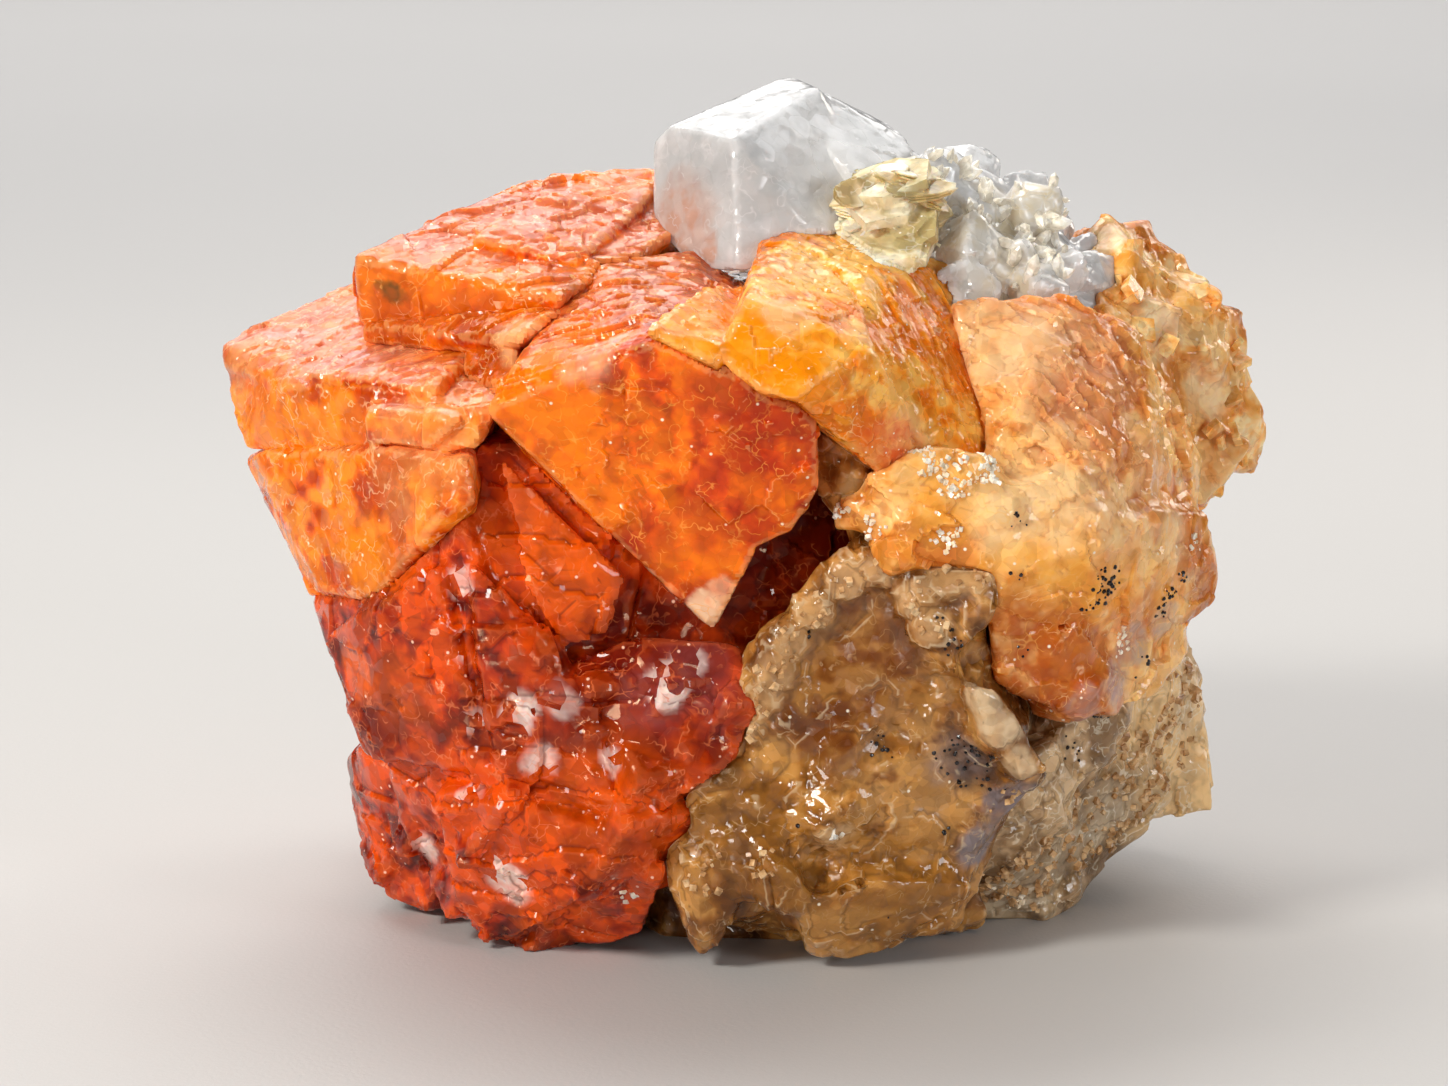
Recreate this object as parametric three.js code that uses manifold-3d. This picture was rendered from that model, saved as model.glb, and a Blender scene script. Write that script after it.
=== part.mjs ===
// A cabinet specimen of orange scheelite on tan calcite matrix, with a clear quartz crystal on top.
// Millimetres, +Z up. X runs to the right and Y away from the viewer of the specimen's display side.
// Each crystal is a convex block given by its corners. Blocks of one mineral that have grown into
// each other are joined, and where two minerals meet a hairline seam is left between them.
import * as THREE from "three";
import { ConvexGeometry } from "three/addons/geometries/ConvexGeometry.js";
import { MeshSurfaceSampler } from "three/addons/math/MeshSurfaceSampler.js";
import { mergeVertices } from "three/addons/utils/BufferGeometryUtils.js";
import Module from "manifold-3d";

const wasm = await Module();
wasm.setup();

const seam = 0.3; // gap left between neighbouring crystals
const chip = 0.06; // steps smaller than this are left out
const specimenWidth = 90; // across the display side, from the left ledge to the right lumps
const restPlane = 0.6; // height at which the underside is worn flat, so that it stands still
const floorReach = 80; // half the side of the block that trims the underside

const V = (x, y, z) => new THREE.Vector3(x, y, z);

// A repeatable random number between 0 and 1
function randomFrom(seed) {
  let state = seed;
  return () => {
    state = (state + 0x6d2b79f5) | 0;
    let t = Math.imul(state ^ (state >>> 15), 1 | state);
    t = (t + Math.imul(t ^ (t >>> 7), 61 | t)) ^ t;
    return ((t ^ (t >>> 14)) >>> 0) / 4294967296;
  };
}

// The convex block with these corners
function hullOf(corners) {
  return new ConvexGeometry(corners.map(([x, y, z]) => V(x, y, z)));
}

function solidOf(geometry) {
  const bare = new THREE.BufferGeometry();
  bare.setAttribute("position", geometry.getAttribute("position"));
  const merged = mergeVertices(bare, 1e-4);
  return new wasm.Manifold(
    new wasm.Mesh({
      numProp: 3,
      vertProperties: new Float32Array(merged.getAttribute("position").array),
      triVerts: new Uint32Array(merged.index.array),
    }),
  );
}

// The same block, larger all round by the seam
function grownBy(corners, gap) {
  const offsets = [-gap, gap];
  return corners.flatMap(([x, y, z]) =>
    offsets.flatMap((a) => offsets.flatMap((b) => offsets.map((c) => [x + a, y + b, z + c]))),
  );
}

function joined(blocks) {
  return blocks.map((corners) => solidOf(hullOf(corners))).reduce((a, b) => a.add(b));
}

// A plate lying on a face: its corners, pushed out by its thickness and rooted below the face
function plate(corners, thickness, root = 1.5) {
  const [a, b, c] = corners.map((p) => V(...p));
  const normal = b.clone().sub(a).cross(c.clone().sub(a)).normalize();
  return corners.flatMap((p) => {
    const corner = V(...p);
    const out = corner.clone().addScaledVector(normal, thickness);
    const inside = corner.clone().addScaledVector(normal, -root);
    return [out.toArray(), inside.toArray()];
  });
}

// Corners of the small crystals, one unit across
const habits = {
  rhomb: [-0.4, 0.4].flatMap((x) =>
    [-0.4, 0.4].flatMap((y) => [-0.45, 0.45].map((z) => [x + z * 0.25, y + x * 0.2, z])),
  ),
  prism: [0, 1, 2, 3, 4, 5].flatMap((i) => {
    const turn = (i * Math.PI) / 3;
    const [x, y] = [0.4 * Math.cos(turn), 0.4 * Math.sin(turn)];
    return [
      [x, y, -0.5],
      [x, y, 0.35 + 0.1 * (i % 2)],
      [0.08, 0, 0.8],
    ];
  }),
};

// Small crystals standing on a block, with their tips leaning out of its faces
function grownOn(corners, options) {
  const { count, seed, size, habit, sink = 0.2, lean = 0.7, facing = [0, 0, 1], least = -2 } = options;
  const random = randomFrom(seed);
  const sampler = new MeshSurfaceSampler(new THREE.Mesh(hullOf(corners)));
  sampler.setRandomGenerator(random).build();
  const point = V(0, 0, 0);
  const normal = V(0, 0, 0);
  const crystals = [];
  let tries = 0;
  while (crystals.length < count && tries < count * 40) {
    tries += 1;
    sampler.sample(point, normal);
    if (normal.dot(V(...facing).normalize()) < least) continue;
    const length = size[0] + (size[1] - size[0]) * random();
    const tip = normal.clone();
    tip.add(V(random() - 0.5, random() - 0.5, random() - 0.5).multiplyScalar(lean)).normalize();
    const turn = new THREE.Quaternion().setFromUnitVectors(V(0, 0, 1), tip);
    turn.multiply(new THREE.Quaternion().setFromAxisAngle(V(0, 0, 1), random() * Math.PI));
    const centre = point.clone().addScaledVector(normal, -sink * length);
    crystals.push(
      habits[habit].map((p) => {
        const swell = 1 + 0.25 * (random() - 0.5);
        return V(...p).multiplyScalar(length * swell).applyQuaternion(turn).add(centre).toArray();
      }),
    );
  }
  return crystals;
}

// Cleavage steps: slabs on the faces of a block, which all lie the same way because the crystal
// splits along the same planes everywhere
function stepsOn(corners, { count, seed, size, lie, sink = 0.3, facing, least = 0.4 }) {
  const random = randomFrom(seed);
  const sampler = new MeshSurfaceSampler(new THREE.Mesh(hullOf(corners)));
  sampler.setRandomGenerator(random).build();
  const turn = new THREE.Quaternion().setFromEuler(new THREE.Euler(...lie));
  const point = V(0, 0, 0);
  const normal = V(0, 0, 0);
  const steps = [];
  let tries = 0;
  while (steps.length < count && tries < count * 40) {
    tries += 1;
    sampler.sample(point, normal);
    if (normal.dot(V(...facing).normalize()) < least) continue;
    const length = size[0] + (size[1] - size[0]) * random();
    const [wide, deep] = [0.6 + 0.5 * random(), 0.6 + 0.3 * random()];
    const centre = point.clone().addScaledVector(normal, -sink * length);
    steps.push(
      habits.rhomb.map(([x, y, z]) =>
        V(x, y * deep, z * wide).multiplyScalar(length).applyQuaternion(turn).add(centre).toArray(),
      ),
    );
  }
  return steps;
}

// A raised rim along a line of points: short uneven lengths, each joined to the next
function rim(points, { radius, seed }) {
  const random = randomFrom(seed);
  const rings = points.map(([x, y, z]) =>
    Array.from({ length: 5 }, (_, k) => {
      const reach = radius * (0.75 + 0.5 * random());
      const turn = (k * 2 * Math.PI) / 5 + 0.6 * random();
      return [x + reach * Math.cos(turn), y + 2 * reach * random() - reach, z + reach * Math.sin(turn)];
    }),
  );
  return rings.slice(1).map((ring, i) => [...rings[i], ...ring]);
}

// The wedge in the middle: a broad face that comes down to a point, under a top that slopes back
const wedgeBody = [
  [-20, -30, 48],
  [-18, -29.2, 51],
  [-6, -34.5, 54.4],
  [-1.5, -35.2, 54],
  [6, -33, 49.5],
  [6.2, -31.5, 42],
  [4, -31, 38.5],
  [1, -30.7, 37],
  [-9.5, -28.8, 37.3],
  [-16, -22, 53.2],
  [-11.5, -14, 57.4],
  [-4, -11, 58],
  [0, -13, 55.5],
  [-14.5, -21, 39.5],
  [-7, -20, 34],
  [3, -16, 36],
  [4, -8, 52],
  [-10, -6, 50],
];
const wedgeTip = [
  [-9.5, -28.8, 37.3],
  [1, -30.7, 38],
  [1.2, -30.6, 36.5],
  [-2, -28, 29.8],
  [-3.2, -25.5, 30],
  [-8, -22, 35],
  [0, -20, 36],
  [-5, -28, 42],
];
const wedgeFlake = plate(
  [
    [-17.8, -29.8, 50.8],
    [-17.8, -24, 52.8],
    [-8, -28, 55.6],
    [-7.5, -33.5, 54.3],
  ],
  -0.7,
);
const wedgeBevel = plate(
  [
    [-20, -29.6, 47.8],
    [-9.5, -29.3, 36.8],
    [-3.2, -27.6, 30.6],
    [-9.5, -26, 35.4],
    [-19, -27, 46],
  ],
  -0.6,
);

// The stepped crystal on the left, whose top catches the light
const leftUpper = [
  [-43.7, -6, 49.4],
  [-37.5, -16, 47.5],
  [-30, -22, 48.1],
  [-20, -28, 47.3],
  [-18, -20, 50.2],
  [-24, 8, 56],
  [-33, 2, 53.1],
  [-38, -1, 51.5],
  [-42.8, -8, 45],
  [-41.5, -10, 41.2],
  [-30, -21.5, 43.4],
  [-24, -26.5, 44.1],
  [-21, -27.5, 45],
  [-40, 4, 42],
  [-30, 14, 44],
  [-20, 10, 42],
];
const leftLower = [
  [-40.6, -12, 40.8],
  [-41.6, -8, 39.5],
  [-30, -23.2, 43.5],
  [-22, -28.8, 43.6],
  [-21.5, -29, 40.4],
  [-24.2, -29, 39.1],
  [-30, -23.2, 31],
  [-34.5, -18, 30.4],
  [-36, -14, 29.5],
  [-39, 6, 38],
  [-34, 10, 28],
  [-22, 6, 26],
  [-20, -8, 44],
];
const leftCornerBlock = [
  [-43.9, -6, 49.2],
  [-43.6, -7.5, 47.6],
  [-41, -11.5, 47.6],
  [-38.5, -9, 49.9],
  [-41.5, -4, 50.4],
  [-43, -3, 47],
  [-39, -3, 46],
];
const leftLedges = [
  plate(
    [
      [-35.4, -17.6, 48.2],
      [-24.5, -25.2, 48.2],
      [-22, -19, 50.2],
      [-32, -8, 50.6],
    ],
    0.8,
  ),
  plate(
    [
      [-31, -12, 50.2],
      [-24, -20, 49.6],
      [-20, -14, 51.6],
      [-27, -2, 53],
    ],
    0.9,
  ),
  plate(
    [
      [-30, -22.4, 47.2],
      [-30, -22.1, 44.2],
      [-24.6, -26.2, 44.6],
      [-22.4, -27.4, 47],
    ],
    0.7,
  ),
];

// The upper crystal: a tilted roof over a glowing front step, with a second step below
const topBlock = [
  [-31.6, -14, 57.8],
  [-31.5, -13, 52.6],
  [-14.6, -21, 55.8],
  [-15.4, -20, 53.6],
  [-6, -10, 59],
  [-4, -6, 59.7],
  [-7, 2, 63.1],
  [-18, 2, 62.1],
  [-25, -6, 60],
  [-33, 2, 54],
  [-28, 14, 50],
  [-18, 16, 56],
  [-5, 14, 58],
  [-4, 16, 48],
];
const topStep = [
  [-31.2, -14, 52.3],
  [-14.5, -22.5, 54.9],
  [-17.8, -24, 52.6],
  [-31, -13.6, 50],
  [-16, -10, 49],
  [-28, 4, 49],
];
const topFoot = [
  [-30.6, -13.6, 50.2],
  [-18.4, -22.6, 52.2],
  [-18, -25, 49.5],
  [-20, -26, 47.8],
  [-29.6, -15.6, 48.3],
  [-28, 4, 47],
  [-14, 0, 47],
];
const topLedges = [
  plate(
    [
      [-22, -12.5, 58.8],
      [-13.5, -16, 57.4],
      [-8, -6.5, 60.4],
      [-16, -1, 61.7],
    ],
    0.7,
  ),
  plate(
    [
      [-17, -6, 61],
      [-9, -8, 60],
      [-6.6, -1.5, 62],
      [-16, 1, 62.3],
    ],
    0.8,
  ),
];

// The golden crystal right of the wedge, whose smooth shoulder curves down to the right
const goldenPane = [
  [0.7, -32, 57.3],
  [-1.3, -35, 53.2],
  [1.8, -36, 50.8],
  [4.5, -36.4, 50.4],
  [6.5, -36, 51.7],
  [7.4, -33, 54.3],
  [3.4, -32, 56.5],
  [0.8, -20, 56.5],
  [2.3, -15, 59.6],
  [4.8, -13.5, 60],
  [9.9, -27, 55.7],
  [10.4, -33, 53.5],
  [0, -8, 50],
  [10, -8, 50],
  [8, -18, 45],
];
const goldenLeaf = [
  [-7.2, -34.6, 55.3],
  [-5.2, -35, 54.5],
  [-2.5, -24, 57.1],
  [0.6, -19, 56.3],
  [-2.1, -35.6, 53],
  [-0.8, -34.8, 53.8],
  [-3.8, -29, 56.2],
  [0, -30, 50],
  [-3, -28, 51.4],
];
const goldenShoulder = [
  [4.4, -14, 59.8],
  [8.7, -11, 59.5],
  [13, -12, 58.4],
  [16.3, -13, 56.6],
  [18.2, -16, 53],
  [19.4, -19, 49.6],
  [21.4, -22, 45],
  [20, -25, 42.2],
  [17, -26, 41.5],
  [12, -28.6, 42.6],
  [9, -31.6, 49.5],
  [10.5, -29.5, 53],
  [10, -22, 57.4],
  [8, -2, 54],
  [18, -4, 50],
  [18, -10, 40],
  [10, -12, 38],
];
const goldenStep = [
  [4.5, -35.6, 50.4],
  [9.1, -33, 46.8],
  [10.4, -33.4, 53.5],
  [6.7, -35.6, 52.3],
  [13, -31, 49],
  [13.5, -30, 45.6],
  [12.1, -29.6, 42.5],
  [14.1, -29.4, 44.5],
  [12, -22, 46],
  [4, -26, 48],
];
const goldenFlange = [
  [15.5, -11, 57.6],
  [18.9, -11, 56.6],
  [17.8, -14, 54.3],
  [16.1, -15.4, 54.6],
  [14.9, -12.2, 57.3],
  [16, -8, 52],
];

// The clear quartz crystal, its neighbour behind and the small crystals on the slope beside it
const quartzCrystal = [
  [-5.6, -6, 67.9],
  [-0.3, -12.4, 67.7],
  [6.8, -2, 70.6],
  [4.6, 5, 70.9],
  [-6.8, -5, 66.5],
  [-6.8, -7, 60.9],
  [-5.3, -9, 58.6],
  [-3.4, -11.4, 57],
  [0.2, -15.2, 57.4],
  [7.8, -13.4, 58.5],
  [9.6, -6, 64.7],
  [9.3, 0, 67.8],
  [-6, 8, 57],
  [6, 12, 55],
  [11, 4, 59],
];
const quartzNeighbour = [
  [6.4, 0, 70.4],
  [7.3, -1.4, 69.6],
  [14.2, -1, 66.2],
  [14.6, -3, 65.4],
  [13, -6.4, 63.8],
  [11, -9.6, 62.8],
  [7.9, -7, 66.1],
  [12.5, 8, 66.6],
  [14.8, 8, 64.2],
  [8, 14, 62],
  [16, 13, 57],
  [16.6, 0, 56],
  [6, 0, 54],
];
const quartzSlope = [
  [8, -11, 58.5],
  [14.5, -3, 64.6],
  [18, -1, 65.4],
  [23.2, 1, 62],
  [28, 1, 57.8],
  [30.4, -4, 55.2],
  [30.4, -8, 52.4],
  [25.5, -12.4, 50.6],
  [18.6, -13.4, 52],
  [17, -11.4, 57.4],
  [14, 15, 57],
  [24, 13, 56],
  [29.6, 8, 50],
  [20, 2, 46],
];
const quartzFarPrism = [
  [23.4, 6, 62.2],
  [25.6, 8, 62.4],
  [27.6, 8, 60.6],
  [29.4, 5, 57.6],
  [28.6, 3.4, 56.6],
  [24, 3, 59.6],
  [26, 12, 57],
  [22, 8, 56],
];
const quartzTips = [
  ...grownOn(quartzSlope, {
    count: 17,
    seed: 5,
    size: [4, 7.4],
    habit: "prism",
    sink: 0.12,
    lean: 1.1,
    facing: [0.1, -0.35, 1],
    least: 0.35,
  }),
  ...grownOn(quartzSlope, {
    count: 13,
    seed: 71,
    size: [3, 5],
    habit: "rhomb",
    sink: 0.12,
    facing: [0.3, -0.9, 0.5],
    least: 0.4,
  }),
];

// The yellow mica: leaves fanned one over another
const micaLeaves = Array.from({ length: 7 }, (_, i) => {
  const random = randomFrom(300 + i);
  const centre = V(12.6 + 2.4 * (random() - 0.5), -12.8 + 0.3 * i, 59 + 0.86 * i);
  const turn = new THREE.Quaternion().setFromEuler(
    new THREE.Euler(0.5 + 0.5 * (random() - 0.5), -0.15 + 0.5 * (random() - 0.5), random() * 2),
  );
  const [long, wide, thick] = [5 - 0.16 * i, 3.8, 0.62];
  return [0, 1, 2, 3, 4, 5].flatMap((k) => {
    const spread = 0.85 + 0.3 * random();
    const turn60 = (k * Math.PI) / 3;
    const [x, y] = [long * spread * Math.cos(turn60), wide * spread * Math.sin(turn60)];
    return [-thick, thick].map((z) => V(x, y, z).applyQuaternion(turn).add(centre).toArray());
  });
});

// The pale scheelite on the right: a striated shoulder over an overhang and a darker foot
const rightShoulder = [
  [22.6, -19, 51],
  [26, -18.4, 53.2],
  [29.3, -16, 54],
  [32.9, -14, 52],
  [36, -12, 46.4],
  [39.6, -8, 39.6],
  [38.8, -10, 35],
  [21.4, -25.4, 44.8],
  [20.2, -27, 41.7],
  [21.3, -29, 38.8],
  [29.6, -27.4, 37],
  [34, -20, 42],
  [20, -14, 50],
  [24, 4, 50],
  [36, 4, 44],
  [37, 6, 32],
  [20, -4, 38],
];
const rightOverhang = [
  [21, -29.4, 38.8],
  [22.1, -31.2, 35.2],
  [29.6, -28.6, 37],
  [35, -21, 38],
  [39.8, -11.6, 35.6],
  [40.8, -12, 30.2],
  [40.4, -12, 28.4],
  [37.4, -14.6, 26.4],
  [29.6, -26.6, 30.2],
  [20.6, -30, 31.6],
  [36, 2, 30],
  [22, -6, 28],
];
const rightFoot = [
  [20.5, -29.6, 32],
  [21.3, -28.8, 25.4],
  [28.2, -25.6, 21.4],
  [35, -17.4, 21.8],
  [37.8, -13.4, 24.4],
  [37.4, -14, 28],
  [29, -26, 31],
  [32, 0, 22],
  [22, -4, 20],
];
const rightSaddle = [
  [17.8, -17.4, 54.8],
  [19.2, -21.6, 49.4],
  [20.8, -24.6, 44.8],
  [24.4, -24.6, 44.8],
  [23.6, -20.6, 51],
  [26.4, -17.8, 54],
  [28.6, -14.8, 55],
  [20, -8, 48],
  [28, -8, 50],
];
const rightHeart = [
  [9.4, -28.6, 38.6],
  [10.6, -29.8, 42.6],
  [13, -30.6, 44.2],
  [17, -29.8, 44.8],
  [20.8, -28.6, 43.4],
  [22.4, -29.8, 38],
  [20.4, -31.2, 35.2],
  [14, -30.4, 35.4],
  [20, -18, 38],
  [12, -18, 40],
];
const rightLedges = [
  plate(
    [
      [22.5, -25.5, 46.2],
      [29, -25.6, 41.4],
      [35.2, -15.6, 45],
      [30.6, -16.6, 51],
      [24.6, -19.6, 51.4],
    ],
    0.6,
    2.5,
  ),
  plate(
    [
      [21.6, -28.6, 40.6],
      [29.2, -27.6, 38],
      [36.8, -13.4, 39.4],
      [34.6, -16, 43],
      [27.4, -25.4, 42.6],
    ],
    0.8,
    2.5,
  ),
  ...grownOn(rightHeart, {
    count: 6,
    seed: 29,
    size: [2, 3.6],
    habit: "rhomb",
    sink: 0.18,
    facing: [0, -1, 0.6],
    least: 0.5,
  }),
  ...grownOn(rightFoot, {
    count: 6,
    seed: 83,
    size: [3, 5],
    habit: "rhomb",
    sink: 0.3,
    facing: [0.4, -1, 0],
    least: 0.5,
  }),
];

// The lumpy crust of small peach scheelite crystals at the far right
const crustCore = [
  [29.4, -2, 56.2],
  [30.8, 0, 57.6],
  [34.2, 5, 57.6],
  [39.6, 2, 52],
  [42.6, 4, 48.6],
  [45.2, 6, 42.6],
  [44.6, 4, 39],
  [41.8, 2, 36],
  [39.8, -4, 37.6],
  [34.6, -8.4, 50],
  [36, -9, 45],
  [31, -10, 52],
  [32, 17, 52],
  [41, 15, 42],
  [31, 15, 36],
];
const crustGrains = grownOn(crustCore, {
  count: 26,
  seed: 17,
  size: [4.6, 8],
  habit: "rhomb",
  sink: 0.3,
  lean: 0.9,
  facing: [1, -0.3, 0.6],
  least: 0.1,
});

// The deep red scheelite below: cleaved blocks stepping down to the floor
const cleavage = [0.5, 0.25, 0.35]; // the lie of its cleavage planes
const redUpper = [
  [-36, -14, 29.4],
  [-34.4, -15.4, 25.5],
  [-32.6, -18.6, 21.5],
  [-31, -19.5, 16.6],
  [-30, -24, 31.6],
  [-22.6, -27.6, 38.6],
  [-20.8, -28, 34],
  [-20.4, -28.4, 17.6],
  [-36, 2, 30],
  [-33, 14, 26],
  [-14, 20, 34],
  [-14, -8, 42],
];
const redMiddle = [
  [-23, -25.6, 44],
  [-21.4, -27, 35],
  [-20, -27.4, 26],
  [-9.7, -26.4, 27.6],
  [-8, -24.6, 35],
  [-12, -23.4, 44],
  [-14, -6, 44],
  [-20, 4, 24],
  [-4, 0, 26],
];
const redShard = [
  [-19.6, -28.4, 44],
  [-15.6, -28.6, 42.4],
  [-9.4, -27.8, 34],
  [-10.6, -28, 29],
  [-14.6, -28.2, 28],
  [-17, -28.2, 33.6],
  [-14, -22, 34],
  [-12, -22, 42],
];
const redRecess = [
  [-9, -23, 38],
  [4, -21.4, 40],
  [11.4, -18.6, 38],
  [11.6, -20, 32],
  [0, -24, 26],
  [-10, -25, 26],
  [0, 0, 40],
  [8, -4, 30],
];
const redBulge = [
  [-15, -27.6, 26],
  [-9.4, -28.6, 28.6],
  [0.2, -27.4, 28],
  [1.4, -29.6, 23.6],
  [-0.6, -31, 19],
  [-8, -31.4, 14],
  [-14.6, -29.6, 16],
  [-16, -28, 22],
  [-8, -16, 24],
  [-8, -16, 14],
];
const redLower = [
  [-29.4, -19.6, 17.4],
  [-20.4, -28.8, 18],
  [-8, -30.4, 15],
  [-6.4, -29.6, 9],
  [-8, -24.6, 2.7],
  [-11.5, -23, 1.4],
  [-18.8, -20.4, 0.8],
  [-21.8, -18.4, 2],
  [-24.3, -16.6, 3.2],
  [-28, -16.4, 9],
  [-24, 8, 4],
  [-10, 4, 0.8],
  [-12, 8, 18],
];
const redHeel = [
  [-31.8, -13.8, 16.2],
  [-33.6, -8, 13.2],
  [-33.2, -8, 9.4],
  [-32, -9, 5],
  [-29.8, -11.4, 2],
  [-26.7, -12.4, 1],
  [-23.6, -16.6, 3.2],
  [-22.6, -20, 12],
  [-27.6, -18.4, 16.6],
  [-31, 4, 13],
  [-28, 8, 5],
  [-20, 10, 2],
];
const redBack = [
  [-35, 4, 29],
  [-33, 15, 27],
  [-24, 26, 24],
  [-10, 31, 28],
  [-26, 20, 10],
  [-29, 8, 7],
  [-16, 22, 4],
  [-10, 30, 14],
  [-4, 10, 8],
  [-6, 10, 38],
  [-28, 12, 40],
];
const redLedges = [
  plate(
    [
      [-34.3, -17.1, 26],
      [-29.9, -21, 16.8],
      [-20.1, -27.8, 18],
      [-24.3, -27.6, 34.6],
      [-28.1, -26, 31.5],
    ],
    0.9,
    3,
  ),
  plate(
    [
      [-21.8, -28.4, 35],
      [-21.2, -28.6, 27],
      [-19.6, -28.6, 18.2],
      [-10.4, -30.6, 15.8],
      [-12, -29.4, 23.6],
      [-14.5, -27.8, 27.6],
    ],
    0.8,
    3,
  ),
  plate(
    [
      [-24.8, -25.4, 15.3],
      [-22.6, -21.4, 4.2],
      [-18.9, -22.4, 1.9],
      [-11.3, -29.6, 8.6],
      [-9.6, -30.4, 13.1],
      [-19.5, -29, 16],
    ],
    0.9,
    3,
  ),
  ...stepsOn(redLower, {
    count: 6,
    seed: 41,
    size: [9, 13],
    lie: cleavage,
    sink: 0.34,
    facing: [0, -1, -0.2],
  }),
  ...stepsOn(redHeel, {
    count: 3,
    seed: 43,
    size: [7, 9],
    lie: cleavage,
    sink: 0.38,
    facing: [-0.6, -1, 0],
  }),
  ...stepsOn(redBulge, {
    count: 5,
    seed: 47,
    size: [6, 9],
    lie: cleavage,
    sink: 0.33,
    facing: [0, -1, 0.2],
  }),
  ...stepsOn(redBack, { count: 9, seed: 53, size: [9, 15], lie: cleavage, facing: [-1, 1, 0] }),
];

// The tan spur low on the right, a sugary mass of calcite grains
const spurCore = [
  [36.8, -2, 22.6],
  [37.4, -6, 22.8],
  [40.2, -1, 18],
  [41.4, 1, 13],
  [40.2, 0, 9.6],
  [35.4, -4, 7],
  [30.4, -9, 3],
  [28.4, -11, 1.2],
  [25, -13, 0.6],
  [19, -15, 1.2],
  [26, -20.4, 16.4],
  [22, -21, 10],
  [33.6, -11, 22.4],
  [34, 14, 9],
  [37.4, 12, 18],
  [24, 10, 3],
  [30, 12, 26],
];
const spurGrains = grownOn(spurCore, {
  count: 26,
  seed: 23,
  size: [3.6, 6.6],
  habit: "rhomb",
  sink: 0.28,
  lean: 1,
  facing: [0.7, -0.7, 0],
  least: -0.1,
});

// The calcite matrix that everything grows on: the core, the bulge in front, and a low pale rim round
// a shallow hollow that is filled by one brown crystal
const matrixCore = [
  [-6, -19, 0],
  [8, -20, 0],
  [16, -17, 0],
  [20, -6, 0],
  [16, 15, 0],
  [0, 20, 0],
  [-12, 14, 0],
  [-12, -8, 0],
  [28, 18, 14],
  [10, 31, 16],
  [-8, 30, 14],
  [-14, -6, 14],
  [24, -20, 20],
  [-6, -14, 36],
  [20, -22, 36],
  [32, -2, 38],
  [31, 18, 40],
  [8, 33, 40],
  [-14, 30, 40],
  [-28, 14, 42],
  [2, -8, 52],
  [18, -8, 51],
  [24, 12, 51],
  [2, 20, 54],
  [-14, 16, 53],
];
const matrixFront = [
  [-7, -28, 11],
  [-2.6, -28.8, 18],
  [2, -28.2, 27],
  [5.4, -27.2, 31.4],
  [11.6, -27, 34.4],
  [18, -27.6, 33.8],
  [20, -28.6, 29],
  [6.7, -31.4, 14],
  [1, -30.6, 12.4],
  [20, -26.8, 10.6],
  [24.4, -25.6, 18],
  [-3, -25, 4],
  [7, -22, 1],
  [13.8, -20.4, 1],
  [19, -18.4, 2],
  [10, -8, 20],
];
const matrixHeart = [
  [5.2, -29, 28.9],
  [9.2, -28.6, 33],
  [13.6, -28.5, 33.9],
  [15.2, -29.1, 28.9],
  [13.2, -29.8, 23.9],
  [9.2, -30.6, 18.5],
  [7.2, -30.6, 18.5],
  [5.2, -29.7, 23.9],
].flatMap(([x, y, z]) => [
  [x, y, z],
  [x, -24, z],
]);
const matrixSaddle = [
  [6, -28, 46.6],
  [9.6, -29.2, 44.8],
  [13.2, -29.4, 41],
  [13, -28.4, 37],
  [9.6, -26.6, 37],
  [6.6, -27, 40.6],
  [10, -14, 40],
];
const matrixRim = rim(
  [
    [-4.4, -28.9, 13.5],
    [-1.6, -29.6, 19.8],
    [1.4, -29.5, 24],
    [3.2, -29.3, 28.5],
    [6.2, -28.9, 31.7],
    [8.9, -28.6, 34.5],
    [12.4, -28.7, 35.7],
    [16, -29.4, 34.6],
    [19.4, -29.8, 34],
  ],
  { radius: 1.6, seed: 61 },
);
const matrixPetal = plate(
  [
    [12.2, -28.9, 35],
    [16.8, -30.2, 26.8],
    [22, -30.2, 33.9],
    [17.2, -29.4, 34.3],
    [20, -30.4, 30.6],
    [15.2, -29.7, 28.9],
    [13.6, -29.2, 32.2],
  ],
  0.8,
  3,
);
const matrixHollow = [
  [1.4, -35, 17],
  [5.6, -36, 14.6],
  [13.4, -36, 15.8],
  [16.8, -35, 24],
  [14.4, -34, 31.4],
  [9.4, -33, 33.6],
  [4.8, -33, 30],
  [2.6, -29.2, 20],
  [6.4, -29.6, 17.6],
  [14, -28.8, 20],
  [13.4, -27.2, 27],
  [10, -26.6, 31],
  [6, -27, 28],
];
const matrixBlade = plate(
  [
    [17.6, -31, 25.8],
    [19.8, -30, 25],
    [21.8, -29.6, 22],
    [24.4, -28, 17.6],
    [22.2, -29, 16.8],
    [19.2, -30.4, 20.8],
  ],
  0.8,
  2.5,
);
const matrixTongue = [
  [-6, -28.6, 12],
  [-0.6, -30.6, 12.4],
  [-5.6, -28.6, 7.6],
  [-4.2, -28.4, 3],
  [-2.8, -28, 1.6],
  [-0.8, -28.8, 3.6],
  [0.6, -30, 8],
  [-3.4, -31, 8.4],
  [-2.8, -30.4, 4],
  [-2, -24, 8],
  [-4, -24, 3],
];
const matrixKnobs = [
  [
    [0.4, -30.6, 12.6],
    [3, -33.4, 11.4],
    [5.2, -33, 9.6],
    [5.6, -32, 7],
    [3.4, -31.8, 6],
    [0.8, -30.8, 7.8],
    [3, -26, 10],
  ],
  [
    [5.4, -31.6, 6.6],
    [9.8, -31.4, 9],
    [15.4, -29.4, 8.6],
    [19.6, -26.8, 7.4],
    [18.6, -24, 3.4],
    [11, -27, 1.4],
    [5.4, -28.4, 2],
    [10, -20, 6],
  ],
];
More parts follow.
